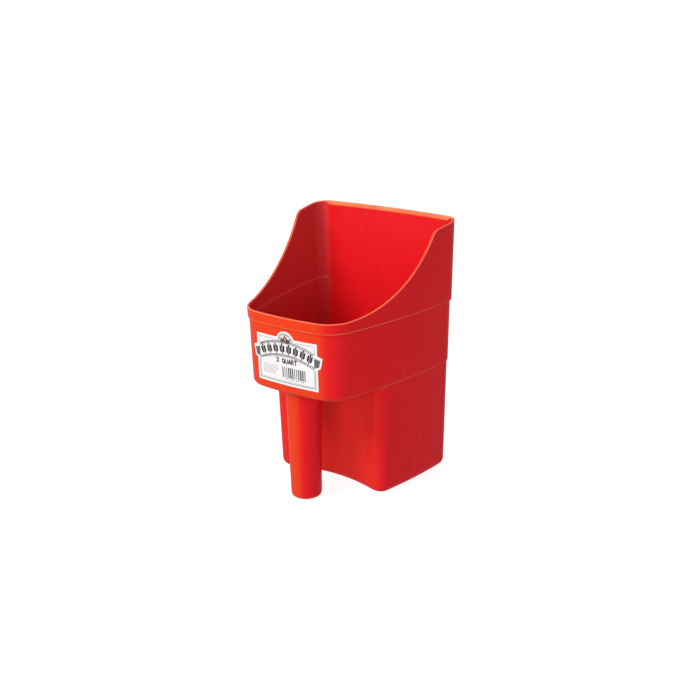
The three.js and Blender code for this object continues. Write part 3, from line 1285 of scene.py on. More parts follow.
@dataclass
class Label:
    """The printed paper label on the skirt's front.

    Attributes:
        moulding: the moulding that it is stuck to.
        low: the height of its bottom edge.
        high: the height of its crest.
        reach: how far its tails reach to each side.
        inks: the finish of each ink, in the order of the slots.
        tail_reach: how far the tails stand out from the square part.
        tail_drop: how far below the square part's top they start.
        tail_height: their height.
        tail_slant: how much of their corners is cut off.
        crest_radius: the radius of the round crest.
        crest_rise: how far the crest stands above the square part.
        back: how far the label's back is in front of the skirt.
        face: how far its face is.
        arch_sag: how far the banner's ends are below its middle.
        banner_drop: how far the banner's upper cord is below the square part's top.
        banner_rise: the banner's height from cord to cord.
    """

    moulding: Moulding
    low: float
    high: float
    reach: float
    inks: list[bpy.types.Material]
    tail_reach: float = 5
    tail_drop: float = 10.8
    tail_height: float = 13.5
    tail_slant: float = 2
    crest_radius: float = 10.5
    crest_rise: float = 6.5
    back: float = 0.03
    face: float = 0.27
    arch_sag: float = 8.5
    banner_drop: float = 4.6
    banner_rise: float = 12.8

    CORD_STRANDS = 40
    CORD_HEIGHT = 2.0
    EARS = 8
    EAR_HEIGHT = 9.6
    EAR_RISE = 2.4
    EAR_MARGIN = 6.4
    BANNER_MARGIN = 3.2
    TEXT = "3 QUART"
    LETTER_HEIGHT = 4.0
    LETTER_PITCH = 3.45
    LETTER_STROKE = 1.1
    LETTER_DROP = 6.2
    PRINT_ROWS = 5
    ROW_PITCH = 1.9
    PRINT_RISE = 16.4
    BORDER_INSET = 2.5
    BARS = 12
    BARS_WIDTH = 27.0
    BARS_LEFT = -4.0
    LONGEST_SIDE = 2.0

    GLYPHS = {
        "3": [[(0, 0.9), (0.3, 1), (0.6, 0.8), (0.3, 0.54), (0.6, 0.25), (0.3, 0), (0, 0.1)]],
        "Q": [
            [(0.3, 1), (0, 0.7), (0, 0.3), (0.3, 0), (0.62, 0.3), (0.62, 0.7), (0.3, 1)],
            [(0.35, 0.25), (0.7, -0.1)],
        ],
        "U": [[(0, 1), (0, 0.25), (0.3, 0), (0.6, 0.25), (0.6, 1)]],
        "A": [[(0, 0), (0.32, 1), (0.64, 0)], [(0.12, 0.33), (0.52, 0.33)]],
        "R": [[(0, 0), (0, 1), (0.45, 0.95), (0.55, 0.75), (0.45, 0.53), (0, 0.5)], [(0.3, 0.5), (0.6, 0)]],
        "T": [[(0, 1), (0.66, 1)], [(0.33, 1), (0.33, 0)]],
    }

    @property
    def half(self) -> float:
        """Half the width of the label's square part."""
        return self.reach - self.tail_reach

    @property
    def top(self) -> float:
        """The height of the square part's top edge."""
        return self.high - self.crest_rise

    def edge(self, trim: float = 0) -> Points:
        """The die-cut outline, anticlockwise.

        Args:
            trim: how far inside the cut edge.

        Returns:
            The outline's corners.
        """
        half, reach = self.half - trim, self.reach - trim
        low, top = self.low + trim, self.top - trim
        tail_top = self.top - self.tail_drop - trim
        tail_low = self.top - self.tail_drop - self.tail_height + trim
        slant = self.tail_slant
        radius = self.crest_radius - trim
        centre = self.high - self.crest_radius
        start = math.degrees(math.asin((top - centre) / radius))
        right = [(half, low), (half, tail_low), (reach - slant, tail_low + slant), (reach, tail_top - slant)]
        right += [(half, tail_top), (half, top)]
        crest = arc((0, centre), radius, start, 180 - start, 22)
        left = [(-x, z) for x, z in reversed(right)]
        return right + crest + left

    def arch(self, x: float) -> float:
        """The height of the banner's upper edge at one place across the label."""
        return self.top - self.banner_drop - self.arch_sag * (x / self.half) ** 2

    def cord(self, drop: float, reach: float) -> list[Patch]:
        """One of the banner's corded edges: slanted strands between two thin lines.

        Args:
            drop: how far it is below the arch.
            reach: how far it reaches to each side.

        Returns:
            Its patches.
        """
        slant, thick, cord = 0.7, 0.45, self.CORD_HEIGHT
        patches = []
        for i in range(self.CORD_STRANDS):
            x = reach * (2 * (i + 0.5) / self.CORD_STRANDS - 1)
            z = self.arch(x) - drop
            foot = [(x - thick - slant, z), (x + thick - slant, z)]
            head = [(x + thick + slant, z + cord), (x - thick + slant, z + cord)]
            patches.append(Patch(Ink.BLACK, foot + head))
        for rise in (-0.45, cord + 0.15):
            path = [(x, self.arch(x) - drop + rise) for x in np.linspace(-reach, reach, 25)]
            patches += stroke(Ink.GREY, path, 0.32)
        return patches

    def banner(self) -> list[Patch]:
        """The arched banner: two corded edges, a row of ears between them, and folded tails."""
        reach = self.half - self.BANNER_MARGIN
        end = reach - self.EAR_MARGIN
        patches = self.cord(0, reach) + self.cord(self.banner_rise, reach)
        for x in np.linspace(-end, end, self.EARS):
            slope = math.degrees(math.atan(2 * self.arch_sag * x / self.half**2))
            foot = (x, self.arch(x) - self.banner_rise + self.EAR_RISE)
            patches += ear_of_grain(Ink.BLACK, foot, self.EAR_HEIGHT, slope)
        return patches + self.tail(-1) + self.tail(1)

    def tail(self, hand: int) -> list[Patch]:
        """The banner's folded tail on one side, shaded with upright lines.

        Args:
            hand: -1 for the left, 1 for the right.

        Returns:
            Its patches.
        """
        top = self.top - self.tail_drop - 2.3
        low = self.top - self.tail_drop - self.tail_height + 2.0
        inner, outer = self.half - 3.4, self.reach - 1.9
        outline = [(inner, low - 0.6), (outer - 1.6, low + 1.2), (outer, top - 1.6), (inner, top)]
        patches = [Patch(Ink.GREY, [(hand * x, z) for x, z in outline])]
        for x in np.arange(inner + 0.7, outer - 1.7, 1.15):
            patches += stroke(Ink.BLACK, [(hand * x, low + 0.7), (hand * x, top - 1.7)], 0.42)
        return patches

    def crest(self) -> list[Patch]:
        """The round crest: a ring with an ear of grain between two leaves."""
        middle = self.high - self.crest_radius
        patches = stroke(Ink.GREY, arc((0.0, middle), self.crest_radius - 2.1, 12, 168, 19), 0.7)
        patches += stroke(Ink.BLACK, arc((0.0, middle), self.crest_radius - 3.2, 20, 160, 17), 0.4)
        patches += ear_of_grain(Ink.RUSSET, (0.0, middle - 0.4), 7.6, 0)
        for hand in (-1, 1):
            patches += ear_of_grain(Ink.BLACK, (hand * 0.9, middle - 0.3), 6.2, hand * 52)
        return patches

    def writing(self) -> list[Patch]:
        """The contents, 3 quarts, in plain capitals below the banner."""
        left = 0.4 - self.LETTER_PITCH * (len(self.TEXT) - 0.35) / 2
        base = self.arch(0) - self.banner_rise - self.LETTER_DROP
        patches = []
        for place, letter in enumerate(self.TEXT):
            start = left + place * self.LETTER_PITCH
            for path in self.GLYPHS.get(letter, []):
                points = [(start + x * self.LETTER_HEIGHT, base + z * self.LETTER_HEIGHT) for x, z in path]
                patches += stroke(Ink.BLACK, points, self.LETTER_STROKE)
        return patches

    def small_print(self) -> list[Patch]:
        """Rows of short plain dashes, and a block of plain upright bars over four more dashes."""
        patches = []
        base = self.low + self.PRINT_RISE
        for row in range(self.PRINT_ROWS):
            z = base - row * self.ROW_PITCH
            x = -self.half + 6.8 + 0.5 * (row % 2)
            for word in range(5 - row // 3):
                length = 2.0 + 1.3 * abs(math.sin(2.3 * word + 1.7 * row))
                patches += stroke(Ink.GREY, [(x, z), (x + length, z)], 0.5)
                x += length + 0.9
        for bar in range(self.BARS):
            x = self.BARS_LEFT + self.BARS_WIDTH * bar / self.BARS
            thick = 0.8 + 0.35 * (1 + math.sin(5.1 * bar))
            patches += stroke(Ink.BLACK, [(x, base - 8.6), (x, base + 0.8)], thick)
        for word in range(4):
            x = self.BARS_LEFT + 2.5 + word * 5.8
            patches += stroke(Ink.GREY, [(x, base - 10.2), (x + 3.8, base - 10.2)], 0.55)
        return patches

    def border(self) -> list[Patch]:
        """The thin border: two lines round the foot and the sides, and one at each upper corner."""
        inset = self.BORDER_INSET
        side, low, top = self.half - inset, self.low + inset, self.top - inset
        high = self.top - self.tail_drop - self.tail_height - 1
        patches = []
        for width, shift, ink in ((0.9, 0, Ink.TEAL), (0.35, 1.3, Ink.GREY)):
            half, foot = side - shift, low + shift
            patches += stroke(ink, [(-half, high), (-half, foot), (half, foot), (half, high)], width)
        for hand in (-1, 1):
            x = hand * (side - 0.3)
            path = [(x, self.top - self.tail_drop + 1), (x, top), (hand * (self.crest_radius + 1.5), top)]
            patches += stroke(Ink.TEAL, path, 0.5)
        return patches

    def place(self, flat: Array, out: float) -> Array:
        """Wraps points of the flat label onto the skirt.

        Args:
            flat: points across and up the label.
            out: how far in front of the skirt they lie.

        Returns:
            The points in space.
        """
        m = self.moulding.mould
        outline = self.moulding.upper(m.hopper_step - out)
        front = outline[: 2 * (self.moulding.SIDE_FRONT + self.moulding.FRONT_TURN) + self.moulding.FRONT]
        rise = flat[:, 1] - m.hopper_foot
        x = flat[:, 0] / (1 + rise * math.tan(m.side_draft) / m.back_half)
        y = np.interp(x, front[:, 0], front[:, 1])
        return m.leaned(np.stack([x, y], axis=1), flat[:, 1])

    def net(self) -> tuple[Array, list[tuple[int, int, int]], list[Ink]]:
        """Cuts the flat label into triangles along every printed edge.

        Returns:
            The flat points, the triangles and each triangle's ink.
        """
        patches = [Patch(Ink.PAPER, self.edge())]
        patches += self.small_print() + self.border() + self.banner() + self.crest() + self.writing()
        points: list[Vector] = []
        loops: list[list[int]] = []
        for patch in patches:
            loop = patch.loop(self.LONGEST_SIDE)
            loops.append(list(range(len(points), len(points) + len(loop))))
            points += [Vector(point) for point in loop]
        for x in np.arange(-self.half + 0.8, self.half, 1.6):
            points += [Vector((x, z)) for z in np.arange(self.low + 0.8, self.top - 0.4, 1.9)]
        flat, _, triangles, _, _, sources = delaunay_2d_cdt(points, [], loops, 1, 1e-5)
        inks = [patches[max(source)].ink for source in sources]
        return np.array([tuple(point) for point in flat]), triangles, inks

    def build(self) -> bpy.types.Object:
        """Makes the label as a thin closed sheet.

        Returns:
            The object, riding on the scoop and standing for its CAD solid.
        """
        flat, triangles, inks = self.net()
        count = len(flat)
        vertices = np.vstack([self.place(flat, self.face), self.place(flat, self.back)])
        faces: list[tuple[int, ...]] = [tuple(corners) for corners in triangles]
        faces += [tuple(corner + count for corner in reversed(corners)) for corners in triangles]
        seen: dict[tuple[int, int], int] = {}
        for a, b, c in triangles:
            for start, end in ((a, b), (b, c), (c, a)):
                seen[(start, end)] = seen.get((start, end), 0) + 1
        rims = [pair for pair in seen if (pair[1], pair[0]) not in seen]
        faces += [(end, start, start + count, end + count) for start, end in rims]
        sheet = add_object("printed_label", mesh_of("printed_label", vertices, faces))
        slots = [ink.value for ink in inks] + [0] * (len(faces) - len(inks))
        for material in self.inks:
            sheet.data.materials.append(material)
        sheet.data.polygons.foreach_set("material_index", slots)
        sheet.data.shade_smooth()
        sheet.data.set_sharp_from_angle(angle=math.radians(40))
        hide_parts("front_label")
        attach(sheet, BODY)
        return sheet


# ---- Finishes --------------------------------------------------------------------------------------


@dataclass
class Wiring:
    """Adds nodes to a tree and links them.

    Attributes:
        tree: the material's or the group's node tree.
    """

    tree: bpy.types.NodeTree

    def add(self, kind: str, values: dict | None = None, **settings: object) -> bpy.types.Node:
        """Adds a node.

        Args:
            kind: the node's type name.
            values: input sockets to set or link, by name or number.
            settings: the node's own properties.

        Returns:
            The node.
        """
        node = self.tree.nodes.new(kind)
        for name, value in settings.items():
            setattr(node, name, value)
        for key, value in (values or {}).items():
            if isinstance(value, bpy.types.NodeSocket):
                self.tree.links.new(value, node.inputs[key])
            else:
                node.inputs[key].default_value = value
        return node

    def maths(self, operation: str, first: object, second: object = 0.0) -> bpy.types.NodeSocket:
        """The result of a sum on two values or sockets."""
        return self.add("ShaderNodeMath", {0: first, 1: second}, operation=operation).outputs[0]

    def noise(self, place: object, scale: float, detail: float = 2, roughness: float = 0.5) -> object:
        """A noise value.

        Args:
            place: the coordinates.
            scale: how many features to the metre.
            detail: how many finer layers it has.
            roughness: how strong the finer layers are.

        Returns:
            The value's socket, 0 to 1.
        """
        inputs = {"Vector": place, "Scale": scale, "Detail": detail, "Roughness": roughness}
        return self.add("ShaderNodeTexNoise", inputs).outputs["Fac"]

    def stretched(self, place: object, scale: tuple[float, float, float]) -> bpy.types.NodeSocket:
        """Coordinates, scaled by a different amount along each axis."""
        return self.add("ShaderNodeMapping", {"Vector": place, "Scale": scale}).outputs["Vector"]

    def ramp(self, value: object, low: float, high: float, to_low: float = 0, to_high: float = 1) -> object:
        """A value, moved from one range to another.

        Args:
            value: the socket.
            low: where the range starts.
            high: where it ends.
            to_low: what the start becomes.
            to_high: what the end becomes.

        Returns:
            The new value's socket.
        """
        inputs = {"Value": value, "From Min": low, "From Max": high, "To Min": to_low, "To Max": to_high}
        return self.add("ShaderNodeMapRange", inputs).outputs["Result"]

    def mix(self, amount: object, first: object, second: object) -> bpy.types.NodeSocket:
        """A colour between two others.

        Args:
            amount: 0 for the first, 1 for the second.
            first: a colour or a socket.
            second: a colour or a socket.

        Returns:
            The mixed colour's socket.
        """
        inputs = {0: amount, 6: first, 7: second}
        return self.add("ShaderNodeMix", inputs, data_type="RGBA").outputs[2]


def new_group(name: str, inputs: dict[str, tuple[str, object]], outputs: dict[str, str]) -> tuple:
    """Starts a shader node group.

    Args:
        name: the group's name.
        inputs: each input's socket type and default.
        outputs: each output's socket type.

    Returns:
        The group, its wiring, its input node and its output node.
    """
    group = bpy.data.node_groups.new(name, "ShaderNodeTree")
    for label, (kind, default) in inputs.items():
        socket = group.interface.new_socket(label, in_out="INPUT", socket_type=kind)
        if default is not None:
            socket.default_value = default
    for label, kind in outputs.items():
        group.interface.new_socket(label, in_out="OUTPUT", socket_type=kind)
    wiring = Wiring(group)
    return group, wiring, wiring.add("NodeGroupInput"), wiring.add("NodeGroupOutput")


FLOAT, COLOUR, VECTOR = "NodeSocketFloat", "NodeSocketColor", "NodeSocketVector"


def colour_drift_group() -> bpy.types.NodeTree:
    """A colour that drifts a little lighter and darker over the surface."""
    inputs = {"Place": (VECTOR, None), "Colour": (COLOUR, None), "Dark": (COLOUR, None)}
    inputs["Amount"] = (FLOAT, 0.3)
    group, w, taken, given = new_group("Colour drift", inputs, {"Colour": COLOUR})
    broad = w.noise(taken.outputs["Place"], scale=14, detail=3, roughness=0.55)
    fine = w.noise(taken.outputs["Place"], scale=160, detail=2, roughness=0.6)
    blend = w.maths("ADD", w.maths("MULTIPLY", broad, 0.75), w.maths("MULTIPLY", fine, 0.25))
    amount = w.maths("MULTIPLY", w.ramp(blend, low=0.32, high=0.68), taken.outputs["Amount"])
    colour = w.mix(amount, taken.outputs["Colour"], taken.outputs["Dark"])
    w.tree.links.new(colour, given.inputs["Colour"])
    return group


def scuffs_group() -> bpy.types.NodeTree:
    """Thin handling scratches in two directions, and cloudy smudges."""
    inputs = {"Place": (VECTOR, None), "Density": (FLOAT, 0.5)}
    group, w, taken, given = new_group("Scuffs", inputs, {"Scratches": FLOAT, "Smudges": FLOAT})
    place = taken.outputs["Place"]
    along_y, along_x = ((0.3, 0.2, 0.5), (9, 210, 9)), ((1.1, -0.4, 0.9), (170, 8, 8))
    marks = []
    for turn, scale in (along_y, along_x):
        turned_place = w.add("ShaderNodeMapping", {"Vector": place, "Rotation": turn}).outputs["Vector"]
        streaks = w.noise(w.stretched(turned_place, scale), scale=1.0, detail=0)
        from_middle = w.maths("ABSOLUTE", w.maths("SUBTRACT", streaks, 0.5))
        marks.append(w.ramp(from_middle, low=0.0, high=0.012, to_low=1, to_high=0))
    patchy = w.ramp(w.noise(place, scale=22), low=0.45, high=0.65)
    scratches = w.maths("MULTIPLY", w.maths("MAXIMUM", marks[0], marks[1]), patchy)
    smudges = w.ramp(w.noise(place, scale=9, detail=4, roughness=0.6), low=0.35, high=0.75)
    w.tree.links.new(w.maths("MULTIPLY", scratches, taken.outputs["Density"]), given.inputs["Scratches"])
    w.tree.links.new(smudges, given.inputs["Smudges"])
    return group


def fine_relief_group() -> bpy.types.NodeTree:
    """The slight waviness and fine grain of a surface, as heights."""
    inputs = {"Place": (VECTOR, None), "Wave": (FLOAT, 1.0), "Grain": (FLOAT, 1.0)}
    inputs["Grain scale"] = (FLOAT, 900.0)
    group, w, taken, given = new_group("Fine relief", inputs, {"Height": FLOAT})
    wave = w.maths("MULTIPLY", w.noise(taken.outputs["Place"], scale=28), taken.outputs["Wave"])
    place, scale = taken.outputs["Place"], taken.outputs["Grain scale"]
    grains = w.add("ShaderNodeTexNoise", {"Vector": place, "Scale": scale}).outputs["Fac"]
    grain = w.maths("MULTIPLY", grains, taken.outputs["Grain"])
    w.tree.links.new(w.maths("ADD", wave, grain), given.inputs["Height"])
    return group


@dataclass(frozen=True)
class Groups:
    """The node groups that the finishes share."""

    drift: bpy.types.NodeTree
    scuffs: bpy.types.NodeTree
    relief: bpy.types.NodeTree


@dataclass(frozen=True)
class Finish:
    """A surface finish.

    Attributes:
        name: the material's name.
        colour: its main colour.
        dark: the darker colour that it drifts to.
        drift: how far it drifts.
        roughness: its roughness where it is clean.
        smudged: how much rougher the smudges are.
        scratches: how dense the scratches are.
        wave: the height of its waviness.
        grain: the height of its grain.
        grain_scale: how many grains to the metre.
        bump: how deep the relief is, in metres.
    """

    name: str
    colour: Colour
    dark: Colour
    drift: float
    roughness: float
    smudged: float
    scratches: float
    wave: float
    grain: float
    grain_scale: float
    bump: float

    SCRATCH_ROUGHNESS = 0.25
    SCRATCH_DEPTH = 0.03

    def start(self, groups: Groups) -> tuple[bpy.types.Material, Wiring, bpy.types.Node, dict]:
        """Makes the material with its shared effects.

        Args:
            groups: the shared node groups.

        Returns:
            The material, its wiring, its shader, and its sockets by name.
        """
        material = bpy.data.materials.new(self.name)
        material.use_nodes = True
        w = Wiring(material.node_tree)
        shader = material.node_tree.nodes["Principled BSDF"]
        place = w.add("ShaderNodeTexCoord").outputs["Object"]
        drift = w.add("ShaderNodeGroup", node_tree=groups.drift)
        scuffs = w.add("ShaderNodeGroup", node_tree=groups.scuffs)
        relief = w.add("ShaderNodeGroup", node_tree=groups.relief)
        for node in (drift, scuffs, relief):
            w.tree.links.new(place, node.inputs["Place"])
        drift.inputs["Colour"].default_value = self.colour
        drift.inputs["Dark"].default_value = self.dark
        drift.inputs["Amount"].default_value = self.drift
        scuffs.inputs["Density"].default_value = self.scratches
        relief.inputs["Wave"].default_value = self.wave
        relief.inputs["Grain"].default_value = self.grain
        relief.inputs["Grain scale"].default_value = self.grain_scale
        sockets = {
            "place": place,
            "colour": drift.outputs["Colour"],
            "scratches": scuffs.outputs["Scratches"],
            "smudges": scuffs.outputs["Smudges"],
            "height": relief.outputs["Height"],
        }
        return material, w, shader, sockets

    def finish(self, w: Wiring, shader: bpy.types.Node, sockets: dict) -> None:
        """Links colour, roughness and relief to the shader.

        Args:
            w: the material's wiring.
            shader: the material's shader.
            sockets: the colour, scratches, smudges and height to use.
        """
        rougher = w.maths("MULTIPLY", sockets["smudges"], self.smudged)
        scratched = w.maths("MULTIPLY", sockets["scratches"], self.SCRATCH_ROUGHNESS)
        roughness = w.maths("ADD", w.maths("ADD", rougher, scratched), self.roughness)
        cut = w.maths("MULTIPLY", sockets["scratches"], self.SCRATCH_DEPTH)
        height = w.maths("SUBTRACT", sockets["height"], cut)
        bump = w.add("ShaderNodeBump", {"Height": height, "Distance": self.bump, "Strength": 1.0})
        w.tree.links.new(sockets["colour"], shader.inputs["Base Color"])
        w.tree.links.new(roughness, shader.inputs["Roughness"])
        w.tree.links.new(bump.outputs["Normal"], shader.inputs["Normal"])


@dataclass(frozen=True)
class MouldedPlastic(Finish):
    """Glossy moulded polypropylene, paler where its edges are rubbed and where highlights are painted, with
    light and shade painted into its colour.

    Attributes:
        rubbed: the pale colour of a rubbed edge, which is also the colour of the painted highlights on the
            rims and the back lip.
        faded: the colour that painted light and shade turn it to: an orange painted light outside, a darker
            painted shade inside.
        glow: how much light it scatters within.
        shine: the strength of its reflections.
    """

    rubbed: Colour = (1.0, 0.30, 0.12, 1.0)
    # The orange that the painted key light turns the outside to.
    faded: Colour = (0.86, 0.056, 0.013, 1.0)
    glow: float = 0.06
    shine: float = 0.13

    # How far the edges are paled at most, by rubbing and by painted highlight.
    MOST_RUBBED = 0.85
    SCRATCH_PALENESS = 0.12

    def make(self, groups: Groups) -> bpy.types.Material:
        """Makes the plastic's material.

        Args:
            groups: the shared node groups.

        Returns:
            The material.
        """
        material, w, shader, sockets = self.start(groups)
        # Pale edges: partly rubbed wear, partly painted highlights on the rims and the back lip.
        edge = w.add("ShaderNodeAttribute", attribute_name="worn_edge").outputs["Fac"]
        patchy = w.noise(sockets["place"], scale=70, detail=3)
        broken = w.ramp(patchy, low=0.3, high=0.6, to_low=0.6, to_high=1)
        worn = w.maths("MULTIPLY", w.ramp(edge, low=0.08, high=0.5), broken)
        rubbed = w.maths("MULTIPLY", worn, self.MOST_RUBBED)
        # Painted light on the outside and painted shade inside, mixed into the colour.
        age = w.add("ShaderNodeAttribute", attribute_name="faded").outputs["Fac"]
        colour = w.mix(rubbed, w.mix(age, sockets["colour"], self.faded), self.rubbed)
        pale = w.maths("MULTIPLY", sockets["scratches"], self.SCRATCH_PALENESS)
        sockets["colour"] = w.mix(pale, colour, self.rubbed)
        self.finish(w, shader, sockets)
        shader.inputs["IOR"].default_value = 1.49
        shader.inputs["Specular IOR Level"].default_value = self.shine
        shader.inputs["Subsurface Weight"].default_value = self.glow
        shader.inputs["Subsurface Radius"].default_value = (1.0, 0.25, 0.12)
        shader.inputs["Subsurface Scale"].default_value = 0.0025
        return material


@dataclass(frozen=True)
class PrintedPaper(Finish):
    """Coated label paper, or ink printed on it."""

    def make(self, groups: Groups) -> bpy.types.Material:
        """Makes the paper's or the ink's material.

        Args:
            groups: the shared node groups.

        Returns:
            The material.
        """
        material, w, shader, sockets = self.start(groups)
        self.finish(w, shader, sockets)
        shader.inputs["IOR"].default_value = 1.45
        return material


PAPER = PrintedPaper(
    name="label_paper",
    colour=(0.96, 0.965, 0.985, 1),
    dark=(0.88, 0.885, 0.905, 1),
    drift=0.4,
    roughness=0.5,
    smudged=0.12,
    scratches=0.1,
    wave=0.4,
    grain=0.5,
    grain_scale=1300,
    bump=0.00004,
)

# What is different about printed paper, whatever its ink.
INK_SURFACE = {
    "drift": 0.6,
    "roughness": 0.42,
    "smudged": 0.1,
    "wave": 0.2,
    "grain_scale": 1400,
    "bump": 0.00002,
}


def ink_finish(ink: Ink, colour: Colour, dark: Colour) -> PrintedPaper:
    """The finish of one ink, printed solid on the label.

    Args:
        ink: which ink.
        colour: its colour.
        dark: its darker colour.

    Returns:
        The finish.
    """
    return replace(PAPER, name=f"label_{ink.name.lower()}", colour=colour, dark=dark, **INK_SURFACE)


RED_PLASTIC = MouldedPlastic(
    name="red_polypropylene",
    colour=(0.88, 0.014, 0.018, 1),
    dark=(0.81, 0.010, 0.019, 1),
    drift=0.5,
    roughness=0.27,
    smudged=0.12,
    scratches=0.5,
    wave=1.0,
    grain=0.05,
    grain_scale=1100,
    bump=0.00022,
)

RED_INSIDE = replace(
    RED_PLASTIC,
    name="red_polypropylene_inside",
    colour=(0.88, 0.012, 0.018, 1),
    dark=(0.82, 0.010, 0.018, 1),
    # Inside, the second colour is darker: the painted shade of the inner side walls.
    faded=(0.62, 0.040, 0.044, 1),
    shine=0.22,
)

LABEL_FINISHES = {
    Ink.PAPER: PAPER,
    Ink.BLACK: ink_finish(Ink.BLACK, (0.010, 0.010, 0.011, 1), (0.03, 0.03, 0.03, 1)),
    Ink.GREY: ink_finish(Ink.GREY, (0.16, 0.17, 0.16, 1), (0.26, 0.27, 0.26, 1)),
    Ink.TEAL: ink_finish(Ink.TEAL, (0.22, 0.36, 0.33, 1), (0.32, 0.44, 0.41, 1)),
    Ink.RUSSET: ink_finish(Ink.RUSSET, (0.28, 0.07, 0.04, 1), (0.40, 0.14, 0.09, 1)),
}


# ---- The studio ------------------------------------------------------------------------------------


@dataclass(frozen=True)
class SoftBox:
    """A square soft light that is aimed at the object.

    Attributes:
        name: the light's name.
        azimuth: where it stands round the object: 0 in front, 90 to the right, in degrees.
        elevation: how high it stands, in degrees.
        distance: how far from the object, in metres.
        size: the length of its side, in metres.
        power: its power, in watts.
        colour: its colour.
    """

    name: str
    azimuth: float
    elevation: float
    distance: float
    size: float
    power: float
    colour: tuple[float, float, float] = (1, 1, 1)

    def place(self, aim: Vector) -> bpy.types.Object:
        """Puts the light in the scene.

        Args:
            aim: the point it shines at.

        Returns:
            The light.
        """
        light = bpy.data.lights.new(self.name, "AREA")
        light.shape = "SQUARE"
        light.size = self.size
        light.energy = self.power
        light.color = self.colour
        box = bpy.data.objects.new(self.name, light)
        box.location = aim + direction(self.azimuth, self.elevation) * self.distance
        box.rotation_euler = (aim - box.location).to_track_quat("-Z", "Y").to_euler()
        bpy.context.scene.collection.objects.link(box)
        return box


def direction(azimuth: float, elevation: float) -> Vector:
    """The direction from the object to a place round it.

    Args:
        azimuth: 0 in front of the object and 90 to its right, in degrees.
        elevation: the height above the horizon, in degrees.

    Returns:
        A unit vector.
    """
    a, e = math.radians(azimuth), math.radians(elevation)
    return Vector((math.sin(a) * math.cos(e), -math.cos(a) * math.cos(e), math.sin(e)))


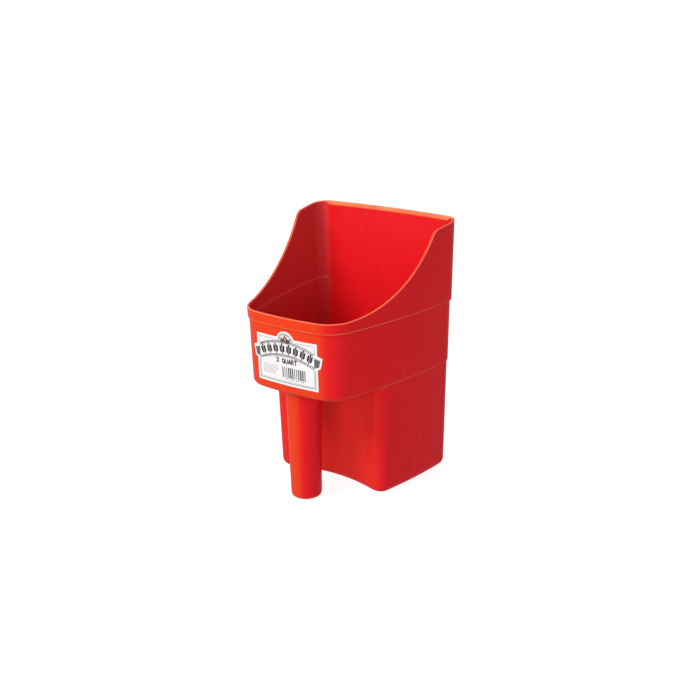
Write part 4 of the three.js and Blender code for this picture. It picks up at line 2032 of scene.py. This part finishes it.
@dataclass
class Studio:
    """The pale floor, the soft lights and the camera.

    Attributes:
        centre: the middle of the object's box, in metres.
        camera_azimuth: where the camera stands round the object, in degrees.
        camera_elevation: how high it stands, in degrees.
        camera_roll: how far it is turned about its own axis, in degrees.
        camera_distance: how far it is from the point it aims at, in metres.
        camera_aim: that point, from the middle of the box.
        lens: its focal length, in millimetres.
        floor_radius: half the length of the floor's side, in metres.
        backdrop_height: the height of the white screen round the floor, in metres.
        sky: the colour of the light from all around.
        sky_strength: its strength.
    """

    centre: Vector
    camera_azimuth: float = 36.86
    camera_elevation: float = 19.52
    camera_roll: float = -1.44
    camera_distance: float = 1.086
    camera_aim: tuple[float, float, float] = (0.0068, 0.005, 0.0017)
    lens: float = 58.44
    floor_radius: float = 8
    backdrop_height: float = 16
    sky: tuple[float, float, float, float] = (1.0, 0.90, 0.93, 1)
    sky_strength: float = 0.47

    LIGHTS = (
        SoftBox("key", -22, 46, 1.7, 0.75, 15.5, (1.0, 1.0, 0.94)),
        SoftBox("front", 16, 11, 1.7, 0.8, 7.8, (1.0, 1.0, 0.96)),
        SoftBox("edge", -118, 12, 1.6, 0.6, 8, (1.0, 0.86, 0.62)),
    )

    def screen(self, name: str, points: list, faces: list, pale: float, glow: float) -> bpy.types.Object:
        """Makes a plain glowing surface that doesn't colour the object's light or reflections.

        Args:
            name: its name.
            points: its corners, in metres.
            faces: the corner numbers of each face.
            pale: how pale it is.
            glow: how strongly it glows.

        Returns:
            The object.
        """
        mesh = bpy.data.meshes.new(name)
        mesh.from_pydata(points, [], faces)
        material = bpy.data.materials.new(name)
        material.use_nodes = True
        shader = material.node_tree.nodes["Principled BSDF"]
        shader.inputs["Base Color"].default_value = (pale, pale, pale, 1)
        shader.inputs["Roughness"].default_value = 0.9
        shader.inputs["Specular IOR Level"].default_value = 0.1 if pale else 0
        shader.inputs["Emission Color"].default_value = (1, 1, 1, 1)
        shader.inputs["Emission Strength"].default_value = glow
        mesh.materials.append(material)
        surface = add_object(name, mesh)
        surface.visible_diffuse = False
        surface.visible_glossy = False
        surface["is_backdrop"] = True
        return surface

    def floor(self) -> None:
        """Makes the plain pale floor, and the white screen round its edge, which casts no shadow."""
        side, high = self.floor_radius, self.backdrop_height
        corners = [(-side, -side), (side, -side), (side, side), (-side, side)]
        ground = [(x, y, 0) for x, y in corners]
        walls = [(i, (i + 1) % 4, 4 + (i + 1) % 4, 4 + i) for i in range(4)]
        self.screen("studio_floor", ground, [(0, 1, 2, 3)], pale=0.3, glow=0.87)
        backdrop = self.screen("studio_backdrop", ground + [(x, y, high) for x, y in corners], walls, 0, 1.0)
        backdrop.visible_shadow = False

    def world(self) -> None:
        """Lights the scene evenly from all around."""
        world = bpy.data.worlds.new("studio")
        world.use_nodes = True
        background = world.node_tree.nodes["Background"]
        background.inputs["Color"].default_value = self.sky
        background.inputs["Strength"].default_value = self.sky_strength
        bpy.context.scene.world = world

    def camera(self) -> bpy.types.Object:
        """Places the camera and makes it the scene's."""
        lens = bpy.data.cameras.new("studio_camera")
        lens.lens = self.lens
        lens.sensor_width = 36
        camera = bpy.data.objects.new("studio_camera", lens)
        aim = self.centre + Vector(self.camera_aim)
        away = direction(self.camera_azimuth, self.camera_elevation)
        turn = (-away).to_track_quat("-Z", "Y").to_matrix().to_4x4()
        roll = Matrix.Rotation(math.radians(self.camera_roll), 4, "Z")
        camera.matrix_world = Matrix.Translation(aim + away * self.camera_distance) @ turn @ roll
        bpy.context.scene.collection.objects.link(camera)
        bpy.context.scene.camera = camera
        return camera

    def build(self) -> None:
        """Sets up the whole studio."""
        self.floor()
        self.world()
        for light in self.LIGHTS:
            light.place(self.centre)
        self.camera()
        view = bpy.context.scene.view_settings
        view.view_transform = "Standard"
        view.look = "None"
        view.exposure = 0.0


def plain_box(corners: tuple) -> list[list[float]]:
    """A box's two corners as plain lists of numbers."""
    return [[float(value) for value in corner_point] for corner_point in corners]


def main() -> None:
    """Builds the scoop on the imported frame, dresses it and lights it."""
    logging.basicConfig(level=logging.INFO, format="%(name)s: %(message)s")
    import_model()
    cad_box = plain_box(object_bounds())
    low, high = (Vector(point) / MM for point in cad_box)
    groups = Groups(colour_drift_group(), scuffs_group(), fine_relief_group())

    mould = Mould(height=high.z, depth=high.y - low.y)
    moulding = Moulding(mould, RED_PLASTIC.make(groups), RED_INSIDE.make(groups))
    body = moulding.build()
    log.info("moulding: %d faces", len(body.data.polygons))

    label_low, label_high = (Vector(point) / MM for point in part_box("front_label"))
    inks = [LABEL_FINISHES[ink].make(groups) for ink in Ink]
    sheet = Label(moulding, label_low.z, label_high.z, label_high.x, inks).build()
    log.info("label: %d faces", len(sheet.data.polygons))

    Studio((Vector(cad_box[0]) + Vector(cad_box[1])) / 2).build()
    log.info("studio: camera and %d lights", len(Studio.LIGHTS))


if __name__ == "__main__":
    main()
